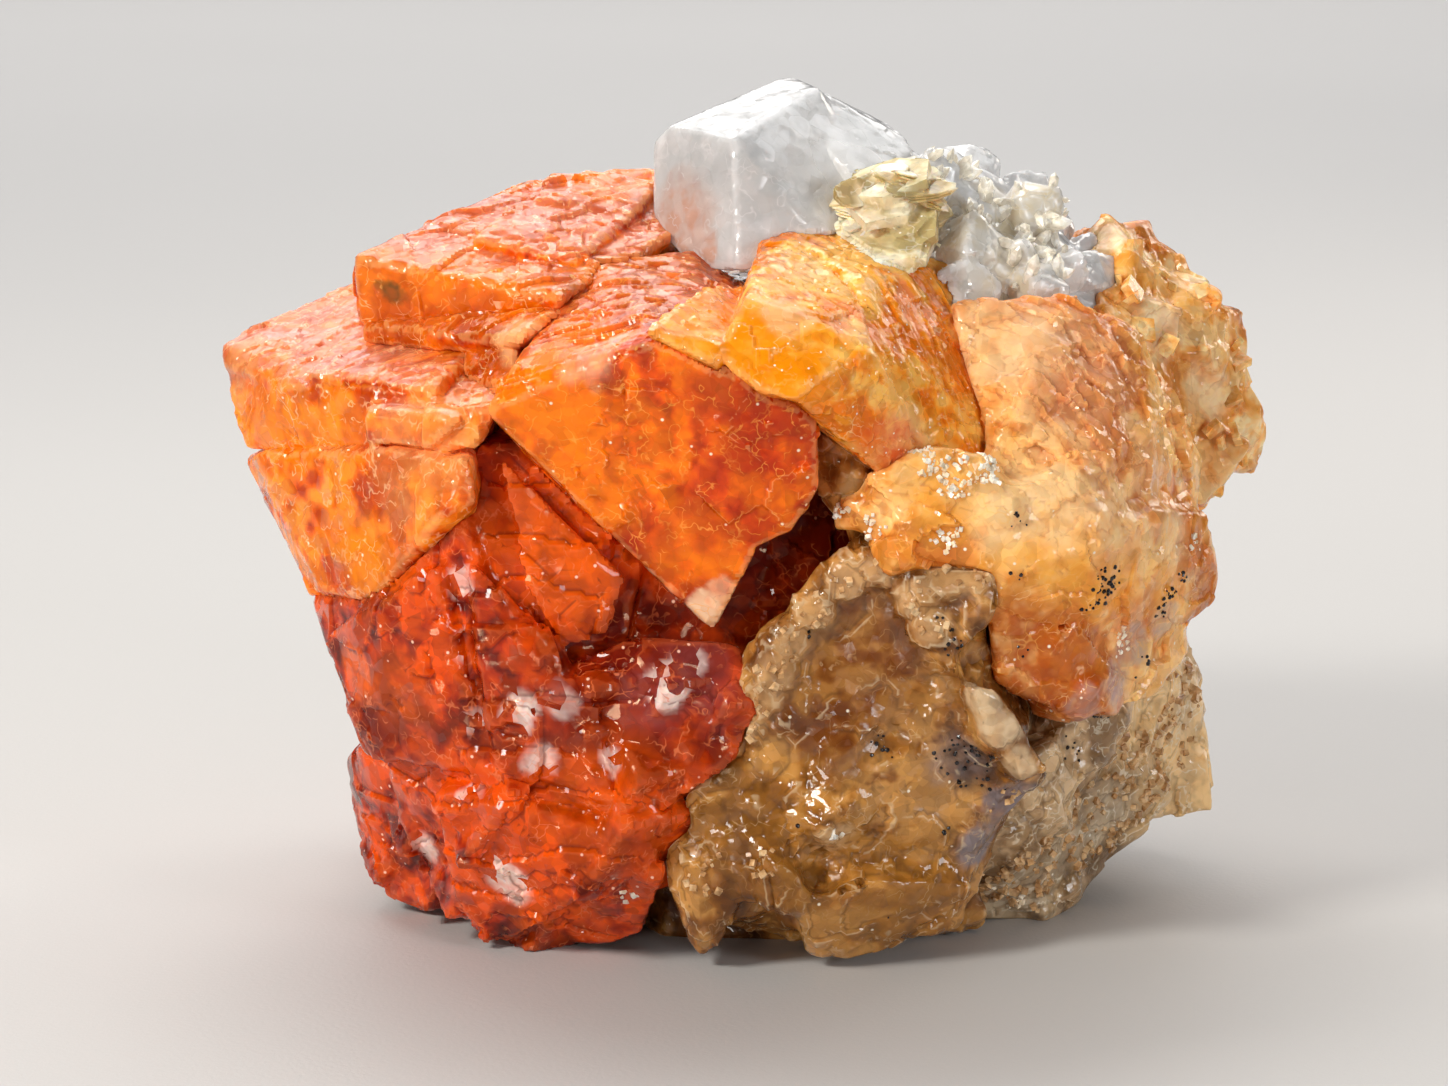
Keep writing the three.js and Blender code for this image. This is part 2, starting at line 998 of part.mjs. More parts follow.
const matrixGrains = [
  ...grownOn(matrixFront, {
    count: 14,
    seed: 67,
    size: [4, 7.4],
    habit: "rhomb",
    sink: 0.36,
    lean: 0.8,
    facing: [0.1, -1, -0.3],
    least: 0.45,
  }),
  ...stepsOn(matrixCore, {
    count: 24,
    seed: 73,
    size: [10, 16],
    lie: [0.2, 0.5, 0.9],
    facing: [0.2, 1, 0.15],
    least: 0.2,
  }),
  ...grownOn(matrixSaddle, {
    count: 7,
    seed: 79,
    size: [2.6, 4.4],
    habit: "rhomb",
    sink: 0.2,
    facing: [0, -1, 0.2],
    least: 0.5,
  }),
];

// The flat sides of a convex block, as planes that face outward
function sidesOf(corners) {
  const positions = hullOf(corners).getAttribute("position");
  return Array.from({ length: positions.count / 3 }, (_, i) => {
    const [a, b, c] = [0, 1, 2].map((k) => V(0, 0, 0).fromBufferAttribute(positions, 3 * i + k));
    return new THREE.Plane().setFromCoplanarPoints(a, b, c);
  });
}

function middleOf(corners) {
  const sum = corners.reduce((total, p) => total.add(V(...p)), V(0, 0, 0));
  return sum.divideScalar(corners.length);
}

// Every crystal and mass, from the one that keeps its whole shape to the one that fills in behind
const pieces = [
  {
    name: "golden_scheelite_crystal",
    colour: 0xf28a26,
    roughness: 0.18,
    blocks: [goldenPane, goldenLeaf, goldenShoulder, goldenStep, goldenFlange],
  },
  {
    name: "wedge_scheelite_crystal",
    colour: 0xf26a12,
    roughness: 0.16,
    blocks: [wedgeBody, wedgeTip, wedgeFlake, wedgeBevel],
  },
  {
    name: "quartz_cluster",
    colour: 0xe6e4df,
    roughness: 0.12,
    blocks: [quartzCrystal, quartzNeighbour, quartzSlope, quartzFarPrism],
    grains: quartzTips,
  },
  { name: "mica_rosette", colour: 0xd8c98c, roughness: 0.3, blocks: micaLeaves },
  {
    name: "left_scheelite_crystal",
    colour: 0xee7a2a,
    roughness: 0.16,
    blocks: [leftUpper, leftLower, leftCornerBlock],
    grains: leftLedges,
  },
  {
    name: "top_scheelite_crystal",
    colour: 0xee8420,
    roughness: 0.15,
    blocks: [topBlock, topStep, topFoot],
    grains: topLedges,
  },
  {
    name: "right_scheelite_mass",
    colour: 0xe59a4e,
    roughness: 0.2,
    blocks: [rightShoulder, rightOverhang, rightFoot, rightSaddle, rightHeart],
    grains: rightLedges,
  },
  {
    name: "peach_scheelite_crust",
    colour: 0xf0b46a,
    roughness: 0.22,
    blocks: [crustCore],
    grains: crustGrains,
  },
  {
    name: "red_scheelite_base",
    colour: 0xb93a0e,
    roughness: 0.17,
    blocks: [redUpper, redMiddle, redShard, redRecess, redBulge, redLower, redHeel, redBack],
    grains: redLedges,
  },
  {
    name: "calcite_spur",
    colour: 0xd9b988,
    roughness: 0.35,
    blocks: [spurCore],
    grains: spurGrains,
  },
  {
    name: "calcite_matrix",
    colour: 0xc08f50,
    roughness: 0.35,
    blocks: [matrixCore, matrixFront, matrixSaddle, matrixTongue, ...matrixKnobs],
    hollows: [matrixHollow],
    grains: [matrixHeart, ...matrixRim, matrixPetal, matrixBlade, ...matrixGrains],
  },
];

// Trims the underside flat at the rest plane
const floorBlock = joined([
  [-1, 1].flatMap((x) =>
    [-1, 1].flatMap((y) => [-floorReach, restPlane].map((z) => [x * floorReach, y * floorReach, z])),
  ),
]);

// The largest of the bodies that a cut leaves
function largestOf(solid) {
  return solid.decompose().reduce((a, b) => (b.volume() > a.volume() ? b : a));
}

function meshOf(name, solid, colour, roughness) {
  const made = solid.getMesh();
  const stride = made.numProp;
  const positions = new Float32Array(made.numVert * 3);
  for (let i = 0; i < made.numVert; i += 1) {
    positions.set(made.vertProperties.subarray(i * stride, i * stride + 3), i * 3);
  }
  const geometry = new THREE.BufferGeometry();
  geometry.setAttribute("position", new THREE.BufferAttribute(positions, 3));
  geometry.setIndex(new THREE.BufferAttribute(made.triVerts, 1));
  geometry.computeVertexNormals();
  const material = new THREE.MeshStandardMaterial({ color: colour, roughness, metalness: 0 });
  const mesh = new THREE.Mesh(geometry, material);
  mesh.name = name;
  return mesh;
}

// The small crystals that aren't buried in the blocks of another piece
const sides = pieces.map((piece) => piece.blocks.map(sidesOf));
function openGrains(piece, own) {
  return (piece.grains ?? []).filter((corners) => {
    const middle = middleOf(corners);
    const buriedIn = (block) => block.every((side) => side.distanceToPoint(middle) < 0);
    return !sides.some((blocks, i) => i !== own && blocks.some(buriedIn));
  });
}

const specimen = new THREE.Group();
let claimed = null; // the space that the pieces made so far take up, with the seam
pieces.forEach((piece, own) => {
  const grains = openGrains(piece, own);
  let solid = joined(piece.blocks);
  (piece.hollows ?? []).forEach((corners) => {
    solid = solid.subtract(solidOf(hullOf(corners)));
  });
  if (grains.length) solid = solid.add(joined(grains));
  if (claimed) solid = solid.subtract(claimed);
  solid = largestOf(solid.subtract(floorBlock)).asOriginal().simplify(chip);
  specimen.add(meshOf(piece.name, solid, piece.colour, piece.roughness));
  const taken = joined([...piece.blocks, ...grains].map((corners) => grownBy(corners, seam)));
  claimed = claimed ? claimed.add(taken) : taken;
});

// The origin is the middle of the box, on the surface that the specimen rests on
const box = new THREE.Box3().setFromObject(specimen);
const middle = box.getCenter(V(0, 0, 0));
const fitted = specimenWidth / (box.max.x - box.min.x); // the corners are written within 1% of life size
specimen.children.forEach((mesh) => {
  mesh.geometry.translate(-middle.x, -middle.y, -box.min.z);
  mesh.geometry.scale(fitted, fitted, fitted);
});

export default specimen;
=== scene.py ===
import itertools
import math

import bpy
import numpy as np
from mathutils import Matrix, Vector
from mathutils.bvhtree import BVHTree


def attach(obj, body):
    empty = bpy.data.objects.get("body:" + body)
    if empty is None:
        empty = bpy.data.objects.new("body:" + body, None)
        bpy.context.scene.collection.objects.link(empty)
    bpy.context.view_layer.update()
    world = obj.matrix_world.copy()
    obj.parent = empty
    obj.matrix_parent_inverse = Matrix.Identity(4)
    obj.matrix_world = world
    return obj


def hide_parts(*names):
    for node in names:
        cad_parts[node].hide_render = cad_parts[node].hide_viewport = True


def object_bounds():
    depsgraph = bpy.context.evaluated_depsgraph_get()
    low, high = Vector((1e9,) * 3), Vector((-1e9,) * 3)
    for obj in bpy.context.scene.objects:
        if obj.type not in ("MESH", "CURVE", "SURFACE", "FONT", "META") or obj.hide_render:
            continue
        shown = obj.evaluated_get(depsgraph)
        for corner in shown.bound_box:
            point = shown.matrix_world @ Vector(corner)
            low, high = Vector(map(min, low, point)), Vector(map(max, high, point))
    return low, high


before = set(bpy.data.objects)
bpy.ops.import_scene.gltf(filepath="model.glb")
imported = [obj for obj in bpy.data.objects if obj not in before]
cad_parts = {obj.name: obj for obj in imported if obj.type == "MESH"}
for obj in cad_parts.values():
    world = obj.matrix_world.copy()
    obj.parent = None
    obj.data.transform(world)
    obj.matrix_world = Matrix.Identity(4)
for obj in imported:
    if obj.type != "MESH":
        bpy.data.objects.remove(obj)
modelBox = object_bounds()  # what the finished surfaces stay inside
mm = 0.001
scene = bpy.context.scene
print("frame loaded:", len(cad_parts), "nodes")

# The photograph's view

view = {
    "photoWidth": 1448,
    "photoHeight": 1086,
    "lensMm": 120,
    "sensorMm": 36,
    "elevation": 12,  # degrees above the surface
    "distanceMm": 420.2,
    "targetMm": (-2.4, 0.7, 30.0),
}
tilt = math.radians(view["elevation"])
lookAlong = Vector((0, math.cos(tilt), -math.sin(tilt)))
lookUp = Vector((0, math.sin(tilt), math.cos(tilt)))
cameraPlace = Vector(view["targetMm"]) * mm - lookAlong * view["distanceMm"] * mm


def addCamera():
    data = bpy.data.cameras.new("camera")
    data.lens = view["lensMm"]
    data.sensor_width = view["sensorMm"]
    data.clip_start = 0.01
    data.clip_end = 20
    camera = bpy.data.objects.new("camera", data)
    camera.location = cameraPlace
    camera.rotation_euler = (math.pi / 2 - tilt, 0, 0)
    scene.collection.objects.link(camera)
    scene.camera = camera


addCamera()

# The rock as it was packed, to find what a pixel of the photograph falls on


def treeOf(objects):
    points = []
    faces = []
    for obj in objects:
        start = len(points)
        points.extend(v.co.copy() for v in obj.data.vertices)
        faces.extend([start + i for i in p.vertices] for p in obj.data.polygons)
    return BVHTree.FromPolygons(points, faces)


rockTree = treeOf(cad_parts.values())


def atPixel(px, py):
    # the point of the rock, in millimetres, that this pixel of the photograph shows
    focal = view["lensMm"] / view["sensorMm"] * view["photoWidth"]
    right = (px - view["photoWidth"] / 2) / focal
    up = (view["photoHeight"] / 2 - py) / focal
    ray = (lookAlong + Vector((right, 0, 0)) + lookUp * up).normalized()
    hit = rockTree.ray_cast(cameraPlace, ray)[0]
    if hit is None:  # just past the outline: the same depth as the rock's middle
        hit = cameraPlace + ray * (cameraPlace - Vector(view["targetMm"]) * mm).length
    return np.array(hit) / mm


# Patterns in space, for points in millimetres


def scatter(cell, seed):
    # three repeatable random numbers from 0 to 1 for each whole-numbered cell
    i, j, k = (cell[:, n].astype(np.uint64) for n in range(3))
    bits = i * np.uint64(73856093) ^ j * np.uint64(19349663) ^ k * np.uint64(83492791)
    bits = bits ^ np.uint64(seed * 7919 + 17)
    out = []
    for _ in range(3):
        bits = (bits ^ (bits >> np.uint64(29))) * np.uint64(0xBF58476D1CE4E5B9)
        bits = bits ^ (bits >> np.uint64(32))
        out.append((bits & np.uint64(0xFFFFFF)).astype(float) / 0xFFFFFF)
    return np.stack(out, 1)


def cloud(points, size, seed, octaves=3):
    # soft noise from -1 to 1
    total = np.zeros(len(points))
    gain = 0
    for octave in range(octaves):
        q = points / (size / 2**octave) + 31.7 * octave
        low = np.floor(q)
        f = q - low
        f = f * f * (3 - 2 * f)
        low = low.astype(np.int64)
        value = np.zeros(len(points))
        for corner in itertools.product((0, 1), repeat=3):
            share = np.prod(np.where(corner, f, 1 - f), axis=1)
            value += share * scatter(low + corner, seed + octave)[:, 0]
        total += (value * 2 - 1) * 0.55**octave
        gain += 0.55**octave
    return total / gain


def cells(points, size, seed):
    # for each point: its cell's middle, the cell's three random numbers and the distance to the middle
    q = points / size
    low = np.floor(q).astype(np.int64)
    near = np.full(len(points), 9.0)
    middle = np.zeros((len(points), 3))
    chance = np.zeros((len(points), 3))
    for step in itertools.product((-1, 0, 1), repeat=3):
        cell = low + step
        random = scatter(cell, seed)
        centre = cell + 0.1 + 0.8 * random
        far = np.linalg.norm(q - centre, axis=1)
        closer = far < near
        near = np.where(closer, far, near)
        middle[closer] = centre[closer]
        chance[closer] = scatter(cell[closer], seed + 50)
    return middle * size, chance, near


def unit(vector):
    vector = np.array(vector, float)
    return vector / np.linalg.norm(vector)


# Relief: each function gives how far the surface moves out. Its size and depth are in millimetres


def bentBy(points, reach, size, seed):
    # the points pushed about, so that the cells' borders aren't straight
    return points + reach * np.stack([cloud(points, size, seed + n, 1) for n in (1, 2, 3)], 1)


def leaning(points, bent, size, depth, seed):
    # a flat face for each cell, leaning its own way
    middle, chance = cells(bent, size, seed)[:2]
    lean = (chance - 0.5) * 2 * depth / size
    return ((points - middle) * lean).sum(1)


def chips(points, size, depth, seed, warp=0.25):
    # flat chips with sharp borders
    return leaning(points, bentBy(points, warp * size, size * 1.3, seed), size, depth, seed)


def terraces(points, along, rise, depth, seed, ragged=0.6):
    # thin sheets that end in small steps, as on a cleavage face
    height = points @ unit(along) / rise + ragged * cloud(points, rise * 3, seed, 3)
    return depth * (height - np.floor(height) - 0.5)


def flakes(points, along, size, stretch, depth, seed):
    # long flat flakes that lie side by side in one direction
    along = unit(along)
    bent = bentBy(points, 0.3 * size, size * 3, seed)
    squeezed = bent - (bent @ along)[:, None] * along * (1 - 1 / stretch)
    return leaning(squeezed, squeezed, size, depth, seed)


def beads(points, size, depth, seed):
    # rounded grains crowded together
    chance, near = cells(bentBy(points, 0.15 * size, size, seed), size, seed)[1:]
    return depth * (0.75 + 0.5 * chance[:, 0]) * (0.45 - near) * 2


def waves(points, size, depth, seed):
    return depth * cloud(points, size, seed, 3)


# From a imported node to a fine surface

surface = {
    "weldMm": 0.002,
    "growMm": 0.3,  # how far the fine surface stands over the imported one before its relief
    "footMm": (0.2, 1.2),  # no relief below the first height, all of it above the second
    "hiddenReachMm": 1.2,  # a surface this close to another piece is hidden
    "hiddenKept": 0.15,  # share of the faces kept where the surface is hidden
    "skinMm": 0.4,  # the look through the crystal starts this far below its surface
    "thickestMm": 20,
    "thinFadeMm": 7,
    "sharpAngle": 26,  # degrees
    "edgeShare": 0.12,  # of a voxel: a point this far out of its neighbours is a full edge
    "driftMm": 4.5,
}


def fineCopy(node, name, voxelMm, filletMm):
    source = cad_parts[node]
    obj = bpy.data.objects.new(name, source.data.copy())
    scene.collection.objects.link(obj)
    weld = obj.modifiers.new("weld", "WELD")
    weld.merge_threshold = surface["weldMm"] * mm
    # a move out and the same move back fill the creases
    for moveMm in (filletMm, -filletMm) if filletMm else (0,):
        remesh = obj.modifiers.new("remesh", "REMESH")
        remesh.mode = "VOXEL"
        remesh.voxel_size = voxelMm * mm
        move = obj.modifiers.new("move", "DISPLACE")
        move.mid_level = 0
        move.strength = moveMm * mm
    fine = bpy.data.meshes.new_from_object(obj.evaluated_get(bpy.context.evaluated_depsgraph_get()))
    obj.modifiers.clear()
    obj.data = fine
    return obj


def coordsOf(mesh):
    flat = np.empty(len(mesh.vertices) * 3)
    mesh.vertices.foreach_get("co", flat)
    return flat.reshape(-1, 3) / mm


def normalsOf(mesh):
    flat = np.empty(len(mesh.vertices) * 3)
    mesh.vertices.foreach_get("normal", flat)
    return flat.reshape(-1, 3)


def setCoords(mesh, points):
    low = np.array(modelBox[0]) / mm + 0.01
    high = np.array(modelBox[1]) / mm - 0.01
    low[2] = 0  # the underside stays on the surface
    mesh.vertices.foreach_set("co", (np.clip(points, low, high) * mm).ravel())
    mesh.update()


def middlesAround(mesh, points):
    # for each point, the middle of the points it shares an edge with
    edges = np.empty(len(mesh.edges) * 2, np.int64)
    mesh.edges.foreach_get("vertices", edges)
    a, b = edges.reshape(-1, 2).T
    total = len(points)
    count = np.bincount(a, minlength=total) + np.bincount(b, minlength=total)
    sums = [np.bincount(a, points[b, n], total) + np.bincount(b, points[a, n], total) for n in range(3)]
    return np.stack(sums, 1) / np.maximum(count, 1)[:, None]


def bulge(mesh, points):
    # how far each point stands out from its neighbours: over 0 on edges that stick out, below in creases
    return ((points - middlesAround(mesh, points)) * normalsOf(mesh)).sum(1)


def keep(mesh, name, values):
    layer = mesh.attributes.new(name, "FLOAT", "POINT")
    layer.data.foreach_set("value", np.asarray(values, np.float32))


def bandOf(values, low, high):
    # 0 below low, 1 above high, smooth between
    t = np.clip((values - low) / (high - low), 0, 1)
    return t * t * (3 - 2 * t)


def patchy(points, size, seed, share=0.5):
    # 1 in soft-edged patches that cover about this share of the surface
    return bandOf(cloud(points, size, seed, 3), 0.35 - share * 0.7, 0.55 - share * 0.7)


def dabs(points, places, seed):
    # ragged spots, each given by a pixel of the photograph, a radius in millimetres and a strength
    total = np.zeros(len(points))
    for n, (px, py, radius, strength) in enumerate(places):
        far = np.linalg.norm(points - atPixel(px, py), axis=1) / radius
        near = far < 2
        ragged = far[near] + 0.45 * cloud(points[near], radius * 0.8, seed + n, 4)
        outer, inner = (1.1, 0.75) if radius < 3 else (1.3, 0.5)  # the large ones fade out softly
        total[near] = np.maximum(total[near], strength * bandOf(-ragged, -outer, -inner))
    return total


def thinness(node, points, normals):
    # near 1 where the crystal is thin below the surface; the finish paints a glow there, as if light came
    # through
    tree = treeOf([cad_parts[node]])
    thick = np.zeros(len(points))
    for n in range(len(points)):
        start = Vector((points[n] - normals[n] * surface["skinMm"]) * mm)
        hit = tree.ray_cast(start, Vector(-normals[n]))
        thick[n] = hit[3] / mm if hit[3] else surface["thickestMm"]
    return np.exp(-thick / surface["thinFadeMm"])


def hiddenShare(node, points, normals):
    # 1 where another crystal covers the surface closely
    tree = treeOf([obj for name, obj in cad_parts.items() if name != node])
    hidden = np.zeros(len(points))
    for n in range(len(points)):
        hit = tree.ray_cast(Vector(points[n] * mm), Vector(normals[n]), surface["hiddenReachMm"] * mm)
        hidden[n] = hit[0] is not None
    return hidden


pieces = {}  # the finished pieces, by the node that each takes the place of


def keepClouds(mesh, points, cloudMm):
    # soft clouds of shade, and a second pattern that says where threads, lines and gloss come and go
    shade = 0.6 * cloud(points, cloudMm, 201) + 0.4 * cloud(points, cloudMm / 5, 205)
    keep(mesh, "cloud", 0.5 + 1.1 * shade)
    keep(mesh, "drift", 0.5 + 0.5 * cloud(points, surface["driftMm"], 211))


def growPiece(settings, relief):
    # a fine copy of the node with its relief, and the masks that its material reads
    node, name, voxelMm = settings["node"], settings["name"], settings["voxelMm"]
    obj = fineCopy(node, name, voxelMm, settings["filletMm"])
    points = coordsOf(obj.data)
    loose = 0.5 * (1 - dabs(points, settings.get("sharp", []), 2))[:, None]
    for _ in range(settings["roundPasses"]):
        points += loose * (middlesAround(obj.data, points) - points)
    setCoords(obj.data, points)
    normals = normalsOf(obj.data)
    hidden = hiddenShare(node, points, normals)
    lifted = bandOf(points[:, 2], *surface["footMm"])
    outMm = surface["growMm"] + (1 - hidden) * lifted * relief(points, normals)
    points = points + normals * outMm[:, None]
    setCoords(obj.data, points)
    group = obj.vertex_groups.new(name="hidden")
    group.add(np.nonzero(hidden)[0].tolist(), 1, "REPLACE")
    thin = obj.modifiers.new("thin", "DECIMATE")
    thin.ratio = 1 - (1 - surface["hiddenKept"]) * float(hidden.mean())
    thin.vertex_group = "hidden"
    thin.vertex_group_factor = 10
    mesh = bpy.data.meshes.new_from_object(obj.evaluated_get(bpy.context.evaluated_depsgraph_get()))
    obj.modifiers.clear()
    obj.vertex_groups.clear()
    obj.data = mesh
    mesh.name = name
    mesh.polygons.foreach_set("use_smooth", np.ones(len(mesh.polygons), bool))
    mesh.set_sharp_from_angle(angle=math.radians(surface["sharpAngle"]))
    points = coordsOf(mesh)
    normals = normalsOf(mesh)
    keep(mesh, "edge", np.clip(bulge(mesh, points) / (surface["edgeShare"] * voxelMm), -1, 1))
    keep(mesh, "thin", thinness(node, points, normals))
    keepClouds(mesh, points, settings["look"]["cloudMm"])
    # the gloss layer is a painted reflection, kept to faces that look up
    facingUp = bandOf(normals[:, 2], 0.3, 0.6)
    for n, (layerName, places) in enumerate(settings["paint"].items()):
        amount = dabs(points, places, 11 * n + 3)
        keep(mesh, layerName, amount * facingUp if layerName == "gloss" else amount)
    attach(obj, "root")
    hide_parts(node)
    pieces[node] = obj
    print(name, len(mesh.polygons), "faces")
    return obj


# Finishes. Every size is in millimetres, and every pattern is read in the object's own coordinates


def colourOf(red, green, blue):
    # from screen values of 0 to 255
    return tuple(((c / 255 + 0.055) / 1.055) ** 2.4 for c in (red, green, blue)) + (1,)


def addNode(tree, kind, values, **settings):
    made = tree.nodes.new(kind)
    for name, value in settings.items():
        setattr(made, name, value)
    for socket, value in values.items():
        if isinstance(value, bpy.types.NodeSocket):
            tree.links.new(value, made.inputs[socket])
        else:
            made.inputs[socket].default_value = value
    return made


def placeInMm(tree):
    coords = addNode(tree, "ShaderNodeTexCoord", {}).outputs["Object"]
    made = addNode(tree, "ShaderNodeVectorMath", {0: coords, "Scale": 1 / mm}, operation="SCALE")
    return made.outputs[0]


def calc(tree, operation, *values, clamp=False):
    made = addNode(tree, "ShaderNodeMath", dict(enumerate(values)), operation=operation, use_clamp=clamp)
    return made.outputs[0]


def vectorCalc(tree, operation, *values):
    made = addNode(tree, "ShaderNodeVectorMath", dict(enumerate(values)), operation=operation)
    return made.outputs["Value" if operation == "DOT_PRODUCT" else "Vector"]


def band(tree, value, low, high, start=0, end=1):
    made = addNode(
        tree,
        "ShaderNodeMapRange",
        {"Value": value, "From Min": low, "From Max": high, "To Min": start, "To Max": end},
        interpolation_type="SMOOTHSTEP",
    )
    return made.outputs["Result"]


def mixed(tree, share, first, second, mode="MIX"):
    values = {0: share, 6: first, 7: second}
    return addNode(tree, "ShaderNodeMix", values, data_type="RGBA", blend_type=mode).outputs[2]


def noise(tree, place, sizeMm, detail=3, output="Fac"):
    values = {"Vector": place, "Scale": 1 / sizeMm, "Detail": detail, "Roughness": 0.6}
    return addNode(tree, "ShaderNodeTexNoise", values).outputs[output]


def voronoi(tree, place, sizeMm, feature="F1"):
    return addNode(tree, "ShaderNodeTexVoronoi", {"Vector": place, "Scale": 1 / sizeMm}, feature=feature)


def layer(tree, name):
    made = addNode(tree, "ShaderNodeAttribute", {}, attribute_name=name, attribute_type="GEOMETRY")
    return made.outputs["Fac"]


def insideMarks(tree, place, look, stir, part):
    # healed cracks and wandering bright threads, the threads partly fine veins and partly painted light
    # inside the crystal, both broken up: the two amounts from 0 to 1
    drift = layer(tree, "drift")
    push = vectorCalc(tree, "SUBTRACT", stir, (0.5, 0.5, 0.5))
    pushed = addNode(
        tree,
        "ShaderNodeVectorMath",
        {0: push, 1: (1.6 * look["stirMm"],) * 3, 2: place},
        operation="MULTIPLY_ADD",
    ).outputs[0]
    sizeMm, width = look["lines"][1:3]
    edge = voronoi(tree, pushed, sizeMm, "DISTANCE_TO_EDGE").outputs["Distance"]
    line = calc(tree, "MULTIPLY", band(tree, edge, 0, width, 1, 0), band(tree, part[1], 0.5, 0.6))
    line = calc(tree, "MULTIPLY", line, band(tree, drift, 0.56, 0.44))
    off = calc(tree, "ABSOLUTE", calc(tree, "SUBTRACT", part[0], 0.5))
    thread = band(tree, off, 0, look["threads"][1], 1, 0)
    thread = calc(tree, "MULTIPLY", thread, band(tree, part[2], 0.46, 0.54))
    thread = calc(tree, "MULTIPLY", thread, band(tree, drift, 0.42, 0.56))
    return line, thread


def chipHeight(tree, place, sizeMm, lean):
    # flat chips, each leaning its own way
    chip = voronoi(tree, place, sizeMm)
    offset = vectorCalc(tree, "SUBTRACT", place, chip.outputs["Position"])
    slope = vectorCalc(tree, "SUBTRACT", chip.outputs["Color"], (0.5, 0.5, 0.5))
    return calc(tree, "MULTIPLY", vectorCalc(tree, "DOT_PRODUCT", offset, slope), lean * 2)


def startMaterial(name, values):
    material = bpy.data.materials.new(name)
    material.use_nodes = True
    shader = material.node_tree.nodes["Principled BSDF"]
    shader.subsurface_method = "BURLEY"
    for socket, value in values.items():
        shader.inputs[socket].default_value = value
    return material, material.node_tree, shader


def shadeRamp(tree, value, colours):
    # dark, middle and light for a value about 0.5
    ramp = addNode(tree, "ShaderNodeValToRGB", {"Fac": value})
    stops = ramp.color_ramp.elements
    stops[0].position, stops[0].color = 0.36, colourOf(*colours[0])
    stops[1].position, stops[1].color = 0.64, colourOf(*colours[2])
    stops.new(0.5).color = colourOf(*colours[1])
    return ramp.outputs["Color"]


def tinted(tree, colour, amount, strength, tint):
    return mixed(tree, calc(tree, "MULTIPLY", amount, strength), colour, colourOf(*tint))


def rockFinish(name, look):
    material, tree, shader = startMaterial(name, look["shader"])
    place = placeInMm(tree)
    colour = shadeRamp(tree, layer(tree, "cloud"), look["colours"])

    # each grain or cleavage flake has its own shade
    sizeMm, strength = look["flakes"]
    flake = voronoi(tree, place, sizeMm)
    shade = band(tree, flake.outputs["Color"], 0, 1, 1 - strength, 1 + strength)
    colour = mixed(tree, 1.0, colour, shade, "MULTIPLY")

    # painted glow where the crystal is thin, as if light came through
    colour = tinted(tree, colour, layer(tree, "thin"), look["thinGlow"][1], look["thinGlow"][0])
    stir = noise(tree, place, look["stirMm"], 2, "Color")
    part = addNode(tree, "ShaderNodeSeparateXYZ", {0: stir}).outputs
    uneven = band(tree, part[1], 0.4, 0.6, 0.6, 1)
    # the deep layer is a deeper tone of thick crystal, and partly painted shade under overhangs and in
    # recesses
    for layerName, (tint, strength) in look["layers"].items():
        amount = calc(tree, "MULTIPLY", layer(tree, layerName), uneven)
        if layerName == "glint":  # painted white glints, broken up into small flat faces
            amount = calc(tree, "MULTIPLY", amount, band(tree, flake.outputs["Color"], 0.4, 0.44))
        colour = tinted(tree, colour, amount, strength, tint)

    line, thread = insideMarks(tree, place, look, stir, part)
    colour = tinted(tree, colour, thread, look["threads"][2], look["threads"][0])
    colour = tinted(tree, colour, line, look["lines"][3], look["lines"][0])
    edge = layer(tree, "edge")
    # painted highlight on edges that stand out
    colour = tinted(tree, colour, band(tree, edge, 0.45, 1), look["paintedEdgeHighlight"][1], look["paintedEdgeHighlight"][0])
    # painted shade in creases where the surface folds in
    colour = tinted(tree, colour, band(tree, edge, -0.2, -1), look["paintedCreaseShade"][1], look["paintedCreaseShade"][0])
    # small pale specks, partly real specks and partly painted glints
    tint, share = look["specksAndGlints"]
    small = band(tree, flake.outputs["Distance"], 0.06, 0.13, 1, 0)
    colour = tinted(tree, colour, small, calc(tree, "LESS_THAN", flake.outputs["Color"], share), tint)
    tree.links.new(colour, shader.inputs["Base Color"])

    gloss = band(tree, layer(tree, "drift"), 0.35, 0.65, *look["roughness"])
    frost = calc(tree, "MULTIPLY", layer(tree, "pale"), 0.25)
    tree.links.new(calc(tree, "ADD", gloss, frost, clamp=True), shader.inputs["Roughness"])

    height = calc(tree, "MULTIPLY", noise(tree, place, look["grainMm"], 1), look["grainDepthMm"])
    for sizeMm, lean in look["chips"]:
        height = calc(tree, "ADD", height, chipHeight(tree, place, sizeMm, lean))
    bump = addNode(tree, "ShaderNodeBump", {"Height": height, "Strength": 1.0, "Distance": mm})
    tree.links.new(bump.outputs["Normal"], shader.inputs["Normal"])
    return material


def finishPiece(obj, material):
    obj.data.materials.clear()
    obj.data.materials.append(material)


scheeliteShader = {
    "IOR": 1.6,
    "Specular IOR Level": 0.16,
    "Specular Tint": (1.0, 0.76, 0.5, 1.0),
    "Subsurface Weight": 0.3,
    "Subsurface Radius": (1.0, 0.35, 0.08),
    "Subsurface Scale": 0.003,
    "Coat Weight": 0.35,
    "Coat Roughness": 0.03,
    "Coat IOR": 1.5,
}
